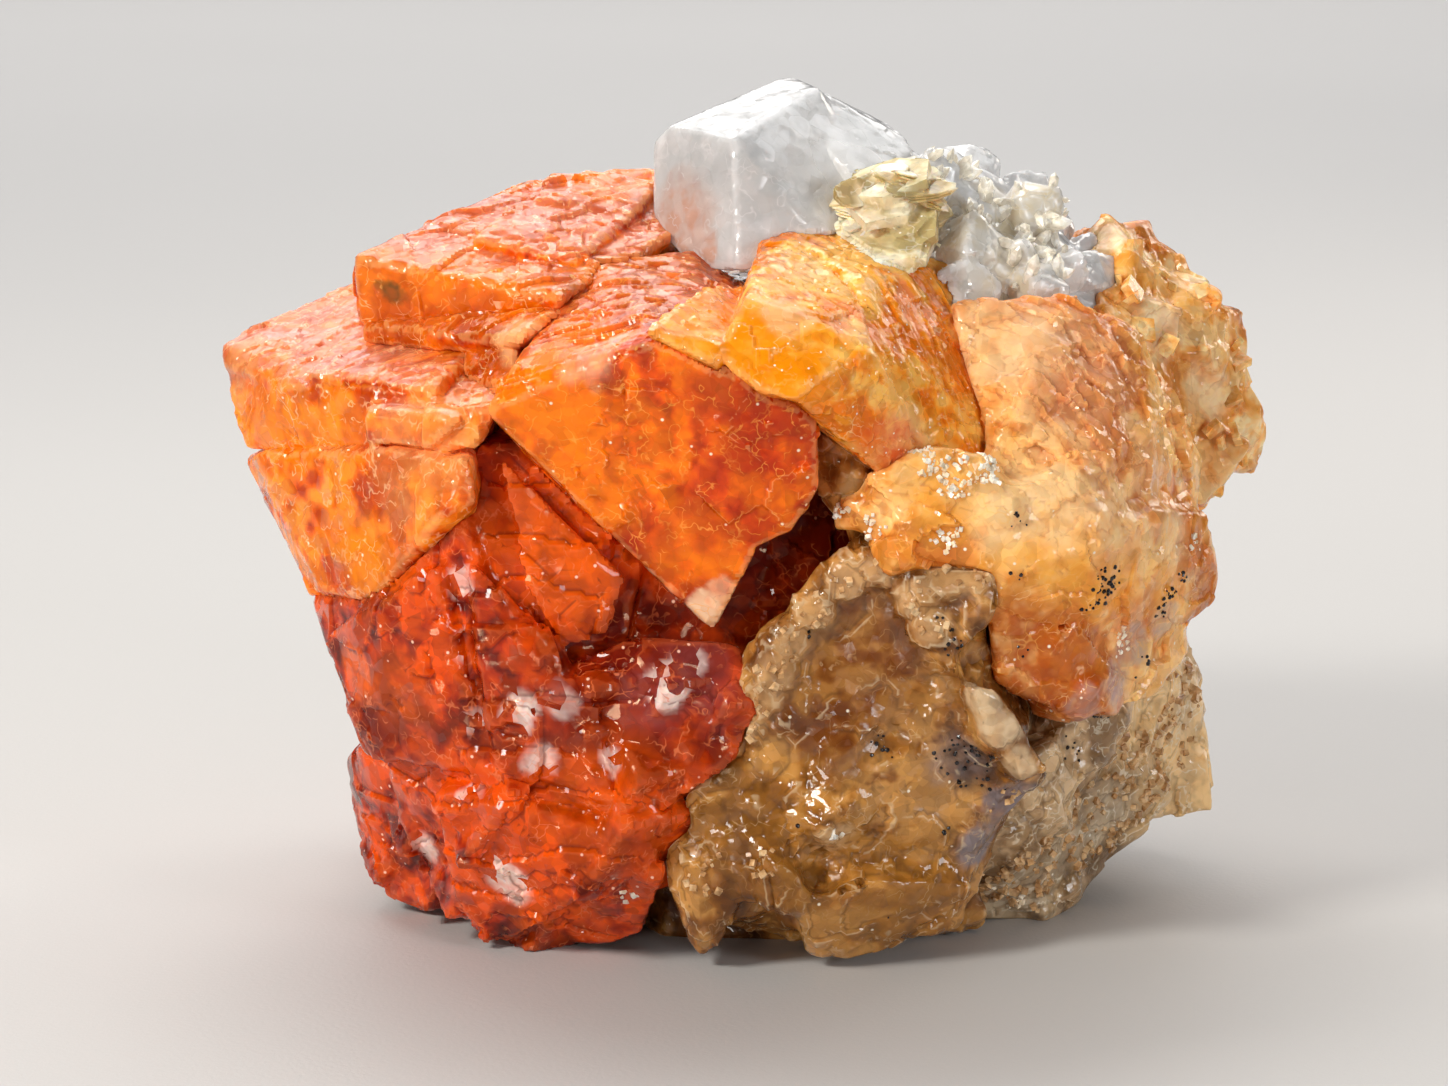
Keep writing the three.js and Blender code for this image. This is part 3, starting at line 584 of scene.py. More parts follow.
# What all the pieces share, unless their own look says otherwise. A tint is in screen values of 0 to 255
scheeliteLook = {
    "cloudMm": 7,  # clouds of shade
    "flakes": (1.4, 0.24),  # size in millimetres, and how far a flake's shade strays
    "stirMm": 2.0,  # how coarsely the lines and threads wander
    "lines": ((255, 205, 140), 1.8, 0.045, 0.6),  # healed cracks: tint, spacing, width, strength
    "threads": ((255, 190, 90), 0.025, 0.4),  # bright threads, partly fine veins and partly painted light inside the crystal: tint, width, strength
    "paintedEdgeHighlight": ((255, 190, 120), 0.28),  # painted highlight where the surface stands out: tint and strength
    "paintedCreaseShade": ((170, 50, 5), 0.25),  # painted shade where the surface folds in: tint and strength
    "specksAndGlints": ((255, 226, 190), 0.4),  # pale specks, partly real specks and partly painted glints: tint, and the share of the flakes that have one
    "roughness": (0.06, 0.22),
    "grainMm": 1.2,
    "grainDepthMm": 0.05,
    "chips": ((1.1, 0.26),),  # in the bump: size in millimetres and lean
    "shader": scheeliteShader,
}


def makePiece(settings, relief):
    material = rockFinish(settings["finish"], settings["look"])
    finishPiece(growPiece(settings, relief), material)


# In the pieces' paint a dab is two pixel coordinates of the photograph, a radius in millimetres and a
# strength. Their colours are dark, middle and light, and thinGlow is the tint of a painted glow where
# the crystal is thin. Of the paint layers, glow is painted glow, gloss a painted reflection on top faces,
# glint painted glints, and the deep layer a deeper tone that is partly painted shade

# The bright wedge in the middle

wedge = {
    "node": "wedge_scheelite_crystal",
    "name": "wedge_crystal",
    "finish": "glowing orange scheelite",
    "voxelMm": 0.26,
    "roundPasses": 2,
    "filletMm": 0,
    "fibreMm": 1.1,
    "fibreDepthMm": 0.3,
    "paint": {
        "glow": [
            (560, 430, 6, 1), (600, 490, 5, 1), (640, 430, 5, 0.7), (690, 545, 4, 0.8),
            (540, 400, 4, 0.8),
        ],
        # a deeper tone, partly painted shade beside the golden crystal's overhang
        "deepToneAndShade": [
            (770, 440, 6, 1), (740, 500, 5, 0.8), (710, 400, 4, 0.5), (790, 400, 5, 0.9),
            (655, 530, 3, 0.6),
        ],
        # pale marks a frosted tip; the dab high on the face and the row along the edge are painted
        # highlights
        "pale": [(707, 607, 1.9, 1), (722, 588, 1.3, 0.8), (590, 362, 2.5, 0.4)]
        + [(500 + 19 * n, 424 + 18 * n, 0.7, 0.6) for n in range(11)],  # painted highlight along the lit bevel of the edge
        # painted reflection on the top faces
        "gloss": [(600, 305, 9, 0.8), (660, 275, 8, 0.8), (720, 282, 4, 0.6)],
    },
    "look": {
        **scheeliteLook,
        "colours": ((172, 34, 0), (230, 76, 0), (255, 116, 0)),
        "lines": ((255, 168, 70), 1.8, 0.045, 0.6),
        "threads": ((255, 180, 70), 0.022, 0.45),
        "thinGlow": ((255, 136, 2), 0.35),
        "layers": {
            "glow": ((255, 124, 0), 0.85),
            "deepToneAndShade": ((186, 48, 0), 0.85),
            "gloss": ((224, 124, 62), 0.8),
            "pale": ((250, 205, 165), 0.9),
        },
    },
}


def wedgeRelief(points, normals):
    top = bandOf(normals[:, 2], 0.35, 0.7)
    return (
        chips(points, 5.5, 0.14, 21)
        + waves(points, 5, 0.08, 22)
        + patchy(points, 6, 24, 0.45) * chips(points, 1.7, 0.22, 25)
        + top * flakes(points, (0.9, -0.35, 0.3), wedge["fibreMm"], 5, wedge["fibreDepthMm"], 23)
    )


makePiece(wedge, wedgeRelief)

# The stepped crystal on the left, mirror-like, with a pinkish reflection painted on top

left = {
    "node": "left_scheelite_crystal",
    "name": "left_crystal",
    "finish": "stepped scheelite with a painted pinkish reflection",
    "voxelMm": 0.32,
    "roundPasses": 2,
    "filletMm": 0,
    "flakeMm": 2.2,
    "flakeDepthMm": 0.3,
    "paint": {
        # painted pinkish reflection on the top faces
        "gloss": [
            (290, 330, 8, 1), (350, 325, 7, 1), (335, 372, 8, 0.9), (400, 392, 5, 0.7),
            (455, 410, 5, 0.5),
        ],
        "glow": [
            (300, 430, 4, 1), (345, 425, 3, 0.9), (370, 562, 4, 0.9), (345, 540, 3, 0.7),
            (262, 440, 3, 0.6),
        ],
        "deepToneAndShade": [
            (262, 395, 3, 0.7), (400, 395, 2, 0.5), (335, 590, 3, 0.8), (300, 575, 3, 0.7),
            (360, 430, 2.5, 0.7),
        ],
        "pale": [(238, 370, 3, 0.7), (430, 440, 5, 0.6), (410, 480, 4, 0.5)],
    },
    "look": {
        **scheeliteLook,
        "colours": ((188, 54, 0), (238, 98, 4), (255, 138, 36)),
        "lines": ((255, 206, 140), 1.6, 0.05, 0.7),
        "threads": ((255, 206, 150), 0.03, 0.5),
        "thinGlow": ((255, 150, 20), 0.35),
        "layers": {
            "gloss": ((228, 136, 104), 0.85),
            "glow": ((255, 140, 0), 0.8),
            "deepToneAndShade": ((190, 60, 0), 0.8),
            "pale": ((250, 164, 92), 0.8),
        },
    },
}


def leftRelief(points, normals):
    top = bandOf(normals[:, 2], 0.4, 0.75)
    return (
        chips(points, 5, 0.18, 31, 0.6)
        + waves(points, 5, 0.1, 32)
        + patchy(points, 5, 34, 0.5) * chips(points, 1.7, 0.16, 35, 0.5)
        + top * flakes(points, (0.8, 0.6, 0), left["flakeMm"], 3, left["flakeDepthMm"], 33)
    )


makePiece(left, leftRelief)

# The amber crystal above it, a flaked roof over two clear front bands

top = {
    "node": "top_scheelite_crystal",
    "name": "top_crystal",
    "finish": "amber scheelite with a flaked roof",
    "voxelMm": 0.3,
    "roundPasses": 2,
    "filletMm": 0,
    "flakeMm": 2.0,
    "flakeDepthMm": 0.35,
    "paint": {
        # painted reflection on the flaked roof
        "gloss": [
            (440, 240, 9, 1), (520, 220, 9, 1), (600, 215, 8, 1), (640, 240, 6, 0.8),
            (540, 262, 6, 0.7),
        ],
        "glow": [
            (380, 285, 4, 1), (440, 286, 4, 0.9), (500, 290, 4, 0.9), (420, 375, 3, 0.6),
            (610, 185, 4, 0.9),
        ],
        "deepToneAndShade": [(400, 345, 4, 0.7), (470, 350, 5, 0.8), (430, 330, 3, 0.5), (545, 296, 3, 0.4)],
        "dark": [(393, 291, 1.1, 0.9), (382, 284, 0.7, 0.7), (402, 295, 0.8, 0.6)],
        "pale": [(520, 340, 2.5, 0.7)],
    },
    "look": {
        **scheeliteLook,
        "colours": ((172, 42, 0), (228, 84, 0), (250, 124, 6)),
        "thinGlow": ((255, 140, 2), 0.35),
        "layers": {
            "gloss": ((216, 118, 84), 0.88),
            "glow": ((248, 124, 0), 0.85),
            "deepToneAndShade": ((170, 46, 0), 0.85),
            "pale": ((250, 200, 140), 0.8),
            "dark": ((48, 52, 12), 0.95),
        },
    },
}


def topRelief(points, normals):
    roof = bandOf(normals[:, 2], 0.4, 0.7)
    return (
        chips(points, 4.5, 0.18, 41, 0.6)
        + waves(points, 4, 0.1, 42)
        + roof * flakes(points, (0.9, 0.4, 0.3), top["flakeMm"], 4, top["flakeDepthMm"], 43)
        + roof * patchy(points, 5, 45, 0.5) * chips(points, 1.5, 0.2, 44)
    )


makePiece(top, topRelief)

# The golden crystal with its yellow pane

golden = {
    "node": "golden_scheelite_crystal",
    "name": "golden_crystal",
    "finish": "golden striated scheelite",
    "voxelMm": 0.26,
    "roundPasses": 2,
    "filletMm": 0,
    "fibreMm": 0.9,
    "fibreDepthMm": 0.22,
    "paint": {
        "glow": [
            (770, 352, 4, 1), (800, 380, 3, 1), (690, 320, 5, 0.7), (930, 282, 2, 0.8),
            (735, 350, 3, 0.9),
        ],
        "pale": [(800, 270, 3, 0.6), (790, 315, 2.5, 0.6), (850, 330, 2.5, 0.5), (905, 440, 3, 0.7)],
        "deepToneAndShade": [(880, 440, 3, 1)],
        "dark": [(737, 278, 0.9, 0.9)],
    },
    "look": {
        **scheeliteLook,
        "paintedCreaseShade": ((214, 96, 20), 0.25),
        "colours": ((232, 114, 10), (252, 152, 42), (255, 188, 92)),
        "thinGlow": ((255, 170, 26), 0.35),
        "layers": {
            "glow": ((255, 148, 0), 0.9),
            "pale": ((255, 208, 158), 0.75),
            "deepToneAndShade": ((228, 78, 0), 0.85),
            "dark": ((30, 26, 22), 0.95),
        },
        "flakes": (0.9, 0.2),
        "specksAndGlints": ((255, 240, 214), 0.6),
    },
}


def goldenRelief(points, normals):
    shoulder = 1 - dabs(points, [(770, 350, 7, 1), (690, 320, 7, 0.8)], 5)
    return (
        chips(points, 4.2, 0.2, 51)
        + waves(points, 4, 0.08, 52)
        + patchy(points, 5, 54, 0.4) * chips(points, 1.5, 0.18, 55)
        + shoulder * flakes(points, (0.5, -0.5, -0.7), golden["fibreMm"], 6, golden["fibreDepthMm"], 53)
    )


makePiece(golden, goldenRelief)

# The mass on the right: striated shoulder, glossy overhang and a darker foot

right = {
    "node": "right_scheelite_mass",
    "name": "right_mass",
    "finish": "peach scheelite mass",
    "voxelMm": 0.34,
    "roundPasses": 9,
    "filletMm": 0.9,
    "fibreMm": 1.4,
    "fibreDepthMm": 0.4,
    "paint": {
        "rosy": [(1080, 380, 7, 1), (1050, 345, 5, 0.9), (1100, 430, 5, 0.8), (1150, 480, 4, 0.7)],
        "deepToneAndShade": [
            (1010, 640, 5, 0.9), (1040, 676, 6, 1), (1095, 705, 5, 1), (990, 600, 3, 0.6),
            (1140, 610, 3, 0.6),
        ],
        "glow": [
            (1060, 560, 4, 1), (1110, 580, 4, 1), (1160, 590, 3, 0.9), (1010, 570, 3, 0.8),
            (940, 500, 4, 0.8),
        ],
        "pale": [
            (1050, 500, 4, 0.9), (1110, 520, 4, 0.9), (1170, 540, 3, 0.9), (990, 340, 6, 0.8),
            (1000, 520, 3, 0.7),
        ],
        "grey": [
            (1130, 645, 2.2, 0.8), (1160, 620, 2, 0.8), (1112, 680, 2.2, 0.8), (1085, 708, 2, 0.7),
        ],
    },
    "look": {
        **scheeliteLook,
        "colours": ((204, 112, 44), (240, 158, 82), (255, 200, 130)),
        "thinGlow": ((255, 170, 50), 0.3),
        "layers": {
            "rosy": ((222, 146, 100), 0.85),
            "glow": ((255, 172, 64), 0.9),
            "deepToneAndShade": ((190, 84, 14), 0.95),
            "pale": ((255, 214, 158), 0.8),
            "grey": ((186, 160, 150), 0.8),
        },
        "specksAndGlints": ((255, 236, 210), 0.45),
    },
}


def rightRelief(points, normals):
    upper = bandOf(points[:, 2], 36, 44)
    return (
        chips(points, 6, 0.5, 61, 0.3)
        + patchy(points, 7, 67, 0.5) * terraces(points, (0.4, -0.3, 0.9), 3.2, 0.22, 68, 1.3)
        + waves(points, 5, 0.35, 62)
        + patchy(points, 6, 65, 0.5) * chips(points, 2.0, 0.22, 66, 0.5)
        + upper * flakes(points, (0.8, -0.3, -0.45), right["fibreMm"], 6, right["fibreDepthMm"], 63)
    )


makePiece(right, rightRelief)

# The lumpy crust of small crystals at the far right

crust = {
    "node": "peach_scheelite_crust",
    "name": "peach_crust",
    "finish": "sugary peach crust",
    "voxelMm": 0.3,
    "roundPasses": 9,
    "filletMm": 0.9,
    "beadMm": 2.4,
    "beadDepthMm": 0.35,
    "paint": {
        "glow": [(1190, 300, 5, 0.8), (1225, 360, 5, 0.7), (1130, 260, 4, 0.6), (1200, 430, 4, 0.6)],
        "pale": [(1160, 330, 3, 0.8), (1200, 395, 3, 0.7), (1110, 240, 2.5, 0.8), (1180, 470, 3, 0.6)],
        "deepToneAndShade": [(1165, 390, 4, 0.6), (1215, 455, 3, 0.5)],
    },
    "look": {
        **scheeliteLook,
        "colours": ((206, 118, 46), (244, 172, 96), (255, 222, 164)),
        "thinGlow": ((255, 185, 80), 0.25),
        "layers": {
            "glow": ((252, 172, 62), 0.8),
            "pale": ((252, 226, 186), 0.8),
            "deepToneAndShade": ((200, 112, 46), 0.7),
        },
    },
}


def crustRelief(points, normals):
    return (
        waves(points, 4, 0.5, 73)
        + patchy(points, 5, 74, 0.5) * beads(points, crust["beadMm"], crust["beadDepthMm"], 71)
        + chips(points, 3.4, 0.3, 72, 0.6)
    )


makePiece(crust, crustRelief)

# The deep red cleaved base

red = {
    "node": "red_scheelite_base",
    "name": "red_base",
    "finish": "deep red cleaved scheelite",
    "voxelMm": 0.42,
    "roundPasses": 1,
    "filletMm": 0,
    "stepRiseMm": 4.5,
    "stepDepthMm": 0.35,
    "paint": {
        # a deeper tone, partly painted shade under the wedge and in the recess
        "deepToneAndShade": [
            (760, 560, 8, 1), (820, 540, 6, 1), (660, 690, 8, 1), (700, 620, 6, 0.8),
            (600, 700, 6, 0.7), (500, 500, 5, 0.6), (620, 850, 4, 0.5), (400, 730, 5, 0.5),
        ],
        "glow": [
            (560, 560, 6, 1), (540, 500, 5, 0.8), (360, 670, 2.5, 1), (400, 572, 3, 0.9),
            (600, 800, 6, 0.6), (400, 690, 4, 0.7), (560, 910, 4, 0.6),
        ],
        "rosy": [(705, 680, 4, 0.8), (655, 700, 3, 0.7)],
        # painted white glints on glossy facets
        "glint": [
            (667, 688, 2.2, 1), (690, 665, 1.6, 0.7), (512, 880, 2.2, 1), (500, 860, 1.5, 0.8),
            (470, 795, 1.5, 0.9), (465, 582, 1.5, 0.9), (465, 645, 1.5, 0.9), (430, 845, 1.5, 0.8),
            (540, 760, 1.6, 0.6), (520, 712, 1.8, 0.8), (610, 760, 1.4, 0.7), (480, 720, 1.4, 0.5),
            (560, 700, 1.6, 0.5),
        ],
    },
    "look": {
        **scheeliteLook,
        "colours": ((100, 14, 0), (166, 38, 0), (220, 74, 2)),
        "threads": ((240, 132, 80), 0.025, 0.45),
        "thinGlow": ((236, 84, 0), 0.35),
        "layers": {
            "deepToneAndShade": ((104, 14, 0), 0.85),
            "glow": ((236, 92, 2), 0.9),
            "rosy": ((176, 88, 86), 0.45),
            "glint": ((255, 236, 226), 0.9),
        },
        "lines": ((232, 120, 70), 2.2, 0.04, 0.6),
        "paintedEdgeHighlight": ((240, 112, 56), 0.22),
        "paintedCreaseShade": ((90, 12, 3), 0.5),
        "specksAndGlints": ((255, 200, 170), 0.4),
        "roughness": (0.07, 0.24),
        "chips": ((1.3, 0.3),),
    },
}


def redRelief(points, normals):
    steps = terraces(points, (0.15, 0.1, 1), red["stepRiseMm"], red["stepDepthMm"], 83, 1.2)
    return (
        chips(points, 8, 0.45, 81)
        + patchy(points, 7, 84, 0.5) * chips(points, 2.6, 0.35, 82)
        + patchy(points, 9, 85, 0.6) * steps
    )


makePiece(red, redRelief)

# The cream calcite low on the right

calciteShader = {
    "IOR": 1.55,
    "Specular IOR Level": 0.25,
    "Subsurface Weight": 0.3,
    "Subsurface Radius": (1.0, 0.6, 0.3),
    "Subsurface Scale": 0.003,
    "Coat Weight": 0.45,
    "Coat Roughness": 0.03,
    "Coat IOR": 1.5,
}
spur = {
    "node": "calcite_spur",
    "name": "calcite_spur_crystals",
    "finish": "sugary cream calcite",
    "voxelMm": 0.32,
    "roundPasses": 9,
    "filletMm": 1.0,
    "beadMm": 2.2,
    "beadDepthMm": 0.35,
    "paint": {
        "glow": [(1160, 690, 6, 1), (1185, 730, 6, 1), (1160, 770, 6, 1), (1190, 790, 5, 1)],
        "pale": [(1010, 890, 4, 0.8), (1100, 810, 4, 0.8), (1060, 850, 3, 0.8), (1180, 700, 3, 0.6)],
        "deepToneAndShade": [(1150, 790, 4, 0.5), (980, 850, 3, 0.5)],
    },
    "look": {
        **scheeliteLook,
        "colours": ((124, 92, 60), (164, 130, 94), (206, 172, 130)),
        "thinGlow": ((240, 190, 120), 0.2),
        "layers": {
            "glow": ((255, 210, 146), 0.95),
            "pale": ((222, 200, 168), 0.75),
            "deepToneAndShade": ((112, 84, 60), 0.7),
        },
        "threads": ((248, 236, 212), 0.03, 0.5),
        "lines": ((245, 232, 205), 2.4, 0.04, 0.5),
        "paintedEdgeHighlight": ((244, 224, 194), 0.6),
        "paintedCreaseShade": ((92, 66, 42), 0.4),
        "specksAndGlints": ((250, 240, 220), 0.35),
        "roughness": (0.18, 0.45),
        "grainMm": 0.8,
        "grainDepthMm": 0.1,
        "chips": ((0.9, 0.3),),
        "shader": calciteShader,
    },
}


def spurRelief(points, normals):
    return (
        waves(points, 5, 0.35, 93)
        + patchy(points, 6, 94, 0.6) * beads(points, spur["beadMm"], spur["beadDepthMm"], 91)
        + chips(points, 3.4, 0.3, 92, 0.6)
    )


makePiece(spur, spurRelief)

# The honey calcite that everything grows on

rimPath = [
    (720, 744), (742, 722), (760, 700), (776, 672), (788, 640), (816, 612), (848, 580), (880, 564),
    (916, 566), (944, 576), (972, 572), (912, 596), (932, 628),
]
matrix = {
    "node": "calcite_matrix",
    "name": "honey_matrix",
    "finish": "honey calcite with pale rims",
    "voxelMm": 0.45,
    "roundPasses": 6,
    "filletMm": 1.2,
    "beadMm": 2.3,
    "beadDepthMm": 0.32,
    "rimHeightMm": 0.45,
    "hollowDepthMm": 0.35,
    "sharp": [(960, 690, 2.4, 1), (985, 728, 3, 1), (1012, 768, 3, 1)],  # a thin ridge whose corners stay
    "paint": {
        "hollow": [
            (860, 650, 6, 1), (840, 700, 5, 1), (880, 610, 4, 0.9), (900, 680, 4, 0.8),
            (840, 750, 3, 0.8),
        ],
        "glow": [
            (900, 905, 6, 0.8), (800, 850, 6, 0.7), (700, 830, 4, 0.6), (930, 860, 5, 0.6),
            (760, 800, 4, 0.5),
        ],
        "grey": [
            (1150, 620, 2.6, 1), (1120, 680, 2.8, 1), (1080, 728, 2.8, 1), (1045, 760, 2.4, 1),
            (1010, 800, 2.6, 1), (980, 845, 2.4, 1), (965, 750, 3.0, 0.9),
        ],
        "rim": [(x, y, 1.9, 0.95) for x, y in rimPath],
        "dark": [
            (970, 756, 2.4, 0.9), (1085, 745, 1.2, 0.8), (1040, 778, 1.2, 0.8), (1130, 690, 1, 0.7),
            (880, 745, 1.0, 0.7),
        ],
        "pale": [(1000, 730, 2.2, 1), (980, 700, 1.8, 1), (1020, 765, 1.8, 1), (830, 840, 2, 0.5)],
    },
    "look": {
        **scheeliteLook,
        "colours": ((94, 50, 12), (144, 88, 32), (190, 134, 68)),
        "thinGlow": ((196, 130, 54), 0.2),
        "layers": {
            "glow": ((178, 118, 42), 0.8),
            "hollow": ((112, 54, 6), 0.85),
            "grey": ((136, 120, 120), 1.0),
            "rim": ((212, 162, 106), 0.9),
            "pale": ((224, 192, 150), 0.85),
            "dark": ((52, 38, 32), 0.75),
        },
        "threads": ((210, 164, 106), 0.02, 0.3),
        "lines": ((214, 176, 126), 2.2, 0.035, 0.5),
        "paintedEdgeHighlight": ((240, 214, 172), 0.35),
        "paintedCreaseShade": ((80, 46, 18), 0.45),
        "specksAndGlints": ((245, 230, 205), 0.3),
        "roughness": (0.07, 0.3),
        "grainMm": 0.9,
        "grainDepthMm": 0.1,
        "chips": ((1.0, 0.3),),
        "shader": calciteShader,
    },
}


def matrixRelief(points, normals):
    smooth = np.maximum(dabs(points, matrix["paint"]["hollow"], 6), dabs(points, matrix["sharp"], 2))
    raised = dabs(points, matrix["paint"]["rim"], 7)
    rough = 1 - smooth
    sugar = beads(points, matrix["beadMm"], matrix["beadDepthMm"], 103)
    return (
        rough * waves(points, 6, 0.45, 101)
        + waves(points, 2.2, 0.12, 107)
        + chips(points, 5, 0.3, 102, 0.7)
        + rough * patchy(points, 6, 105, 0.45) * chips(points, 1.8, 0.25, 106, 0.5)
        + matrix["rimHeightMm"] * raised
        + rough * patchy(points, 8, 108, 0.6) * sugar
        - matrix["hollowDepthMm"] * smooth
    )


makePiece(matrix, matrixRelief)

# Clear quartz on top

quartzShader = {
    "IOR": 1.54,
    "Transmission Weight": 0.35,
    "Subsurface Weight": 0.5,
    "Subsurface Radius": (1.0, 1.0, 1.0),
    "Subsurface Scale": 0.003,
    "Coat Weight": 0.25,
    "Coat Roughness": 0.03,
}
quartz = {
    "node": "quartz_cluster",
    "name": "quartz_crystals",
    "finish": "clear and milky quartz",
    "voxelMm": 0.3,
    "roundPasses": 1,
    "filletMm": 0,
    "paint": {
        "stain": [(685, 222, 3.5, 0.9), (702, 248, 2.5, 0.9), (680, 190, 2, 0.5)],
        "grey": [
            (720, 160, 4, 0.8), (690, 150, 3, 0.7), (1045, 285, 2, 0.8), (760, 200, 3, 0.7),
            (735, 125, 4, 0.5),
        ],
        "pale": [(850, 160, 4, 0.5), (950, 190, 4, 0.5), (1040, 250, 4, 0.6), (1000, 270, 4, 0.5)],
        "glow": [(1020, 212, 4, 1), (950, 230, 4, 0.9), (1000, 290, 5, 0.8), (880, 240, 4, 0.7)],
    },
    "look": {
        **scheeliteLook,
        "colours": ((230, 231, 230), (243, 243, 242), (253, 253, 252)),
        "thinGlow": ((255, 255, 255), 0.0),
        "flakes": (1.4, 0.05),
        "layers": {
            "stain": ((226, 140, 80), 0.7),
            "grey": ((176, 182, 186), 0.5),
            "pale": ((250, 250, 248), 0.7),
            "glow": ((240, 216, 160), 0.7),
        },
        "threads": ((255, 255, 255), 0.03, 0.6),
        "lines": ((255, 255, 255), 2.6, 0.03, 0.5),
        "paintedEdgeHighlight": ((255, 255, 255), 0.5),
        "paintedCreaseShade": ((190, 192, 190), 0.3),
        "specksAndGlints": ((255, 255, 255), 0.3),
        "roughness": (0.03, 0.2),
        "chips": ((1.6, 0.1),),
        "shader": quartzShader,
    },
}


def quartzRelief(points, normals):
    slope = bandOf(points[:, 0], 9, 12)  # the small crystals right of the two large ones
    return waves(points, 6, 0.05, 111) + chips(points, 1.8, 0.12, 112) * (0.3 + slope)


makePiece(quartz, quartzRelief)

# Mica leaves between the quartz crystals

mica = {
    "node": "mica_rosette",
    "name": "mica_leaves",
    "finish": "straw-yellow mica",
    "voxelMm": 0.16,
    "roundPasses": 1,
    "filletMm": 0,
    "paint": {
        "pale": [(880, 200, 3, 0.6)],
        "deepToneAndShade": [(860, 225, 3, 0.6)],
    },
    "look": {
        **scheeliteLook,
        "flakes": (1.0, 0.22),
        "colours": ((180, 158, 112), (224, 206, 164), (250, 242, 220)),
        "threads": ((255, 252, 236), 0.03, 0.5),
        "thinGlow": ((244, 226, 150), 0.3),
        "layers": {
            "pale": ((250, 244, 220), 0.7),
            "deepToneAndShade": ((176, 148, 84), 0.6),
        },
        "lines": ((255, 250, 230), 2.0, 0.06, 0.4),
        "paintedEdgeHighlight": ((255, 248, 224), 0.6),
        "paintedCreaseShade": ((150, 124, 70), 0.4),
        "specksAndGlints": ((255, 250, 235), 0.3),
        "chips": ((0.9, 0.15),),
        "roughness": (0.12, 0.35),
    },
}


def micaRelief(points, normals):
    return waves(points, 2, 0.06, 121) - 0.5


def leafAt(centre, along, facing, lengthMm, widthMm, thickMm, corners, random):
    # one thin leaf: an uneven round outline with a bevelled rim
    side = unit(np.cross(facing, along))
    outline = []
    for step in range(corners):
        turn = 2 * math.pi * step / corners
        reach = 1 + random.uniform(-0.18, 0.18)
        outline.append((lengthMm * reach * math.cos(turn) / 2, widthMm * reach * math.sin(turn) / 2))
    rings = []
    for lift, share in ((-0.5, 0.9), (-0.2, 1.0), (0.2, 1.0), (0.5, 0.9)):
        level = centre + lift * thickMm * facing
        rings.append([level + share * (u * along + v * side) for u, v in outline])
    return np.array(rings)


def growLeaves(name, settings):
    random = np.random.default_rng(settings["seed"])
    points = []
    faces = []
    corners = settings["corners"]
    for number in range(settings["leaves"]):
        row = number / (settings["leaves"] - 1)
        centre = np.array(settings["centreMm"]) + (random.random(3) - 0.5) * settings["spreadMm"]
        facing = unit(np.array(settings["facing"]) + (random.random(3) - 0.5) * settings["tilt"])
        along = unit(np.cross(facing, unit((0.3 - row, 0.9, 0.5))) + (random.random(3) - 0.5) * 0.5)
        along = unit(along - facing * (along @ facing))
        lengthMm = random.uniform(*settings["lengthMm"])
        widthMm = random.uniform(*settings["widthMm"])
        for sheet in range(settings["sheets"]):
            slip = random.uniform(-settings["slipMm"], settings["slipMm"])
            place = centre + sheet * settings["thickMm"] * 1.6 * facing + slip * along
            rings = leafAt(place, along, facing, lengthMm, widthMm, settings["thickMm"], corners, random)
            start = len(points)
            points.extend((rings.reshape(-1, 3) * mm).tolist())
            for ring in range(len(rings) - 1):
                first = start + ring * corners
                for k in range(corners):
                    a, b = first + k, first + (k + 1) % corners
                    faces.append((a, b, b + corners, a + corners))
            faces.append([start + k for k in reversed(range(corners))])
            faces.append([start + (len(rings) - 1) * corners + k for k in range(corners)])
    mesh = bpy.data.meshes.new(name)
    mesh.from_pydata(points, [], faces)
    obj = bpy.data.objects.new(name, mesh)
    scene.collection.objects.link(obj)
    setCoords(mesh, coordsOf(mesh))
    keepClouds(mesh, coordsOf(mesh), settings["cloudMm"])
    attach(obj, "root")
    return obj


micaLeaves = {
    "seed": 14,
    "leaves": 26,
    "sheets": 3,
    "corners": 10,
    "slipMm": 0.25,
    "centreMm": (11.4, -11.0, 61.0),
    "spreadMm": (7.6, 3.6, 5.4),
    "facing": (0.05, -0.45, 0.8),
    "tilt": 0.9,
    "lengthMm": (3.2, 5.8),
    "widthMm": (1.6, 3.0),
    "thickMm": 0.16,
    "cloudMm": 3,
}
makePiece(mica, micaRelief)
leaves = growLeaves("mica_fan", micaLeaves)
finishPiece(leaves, pieces[mica["node"]].data.materials[0])

# Small grains that sit on the larger pieces, by Geometry Nodes


grainTrees = {}


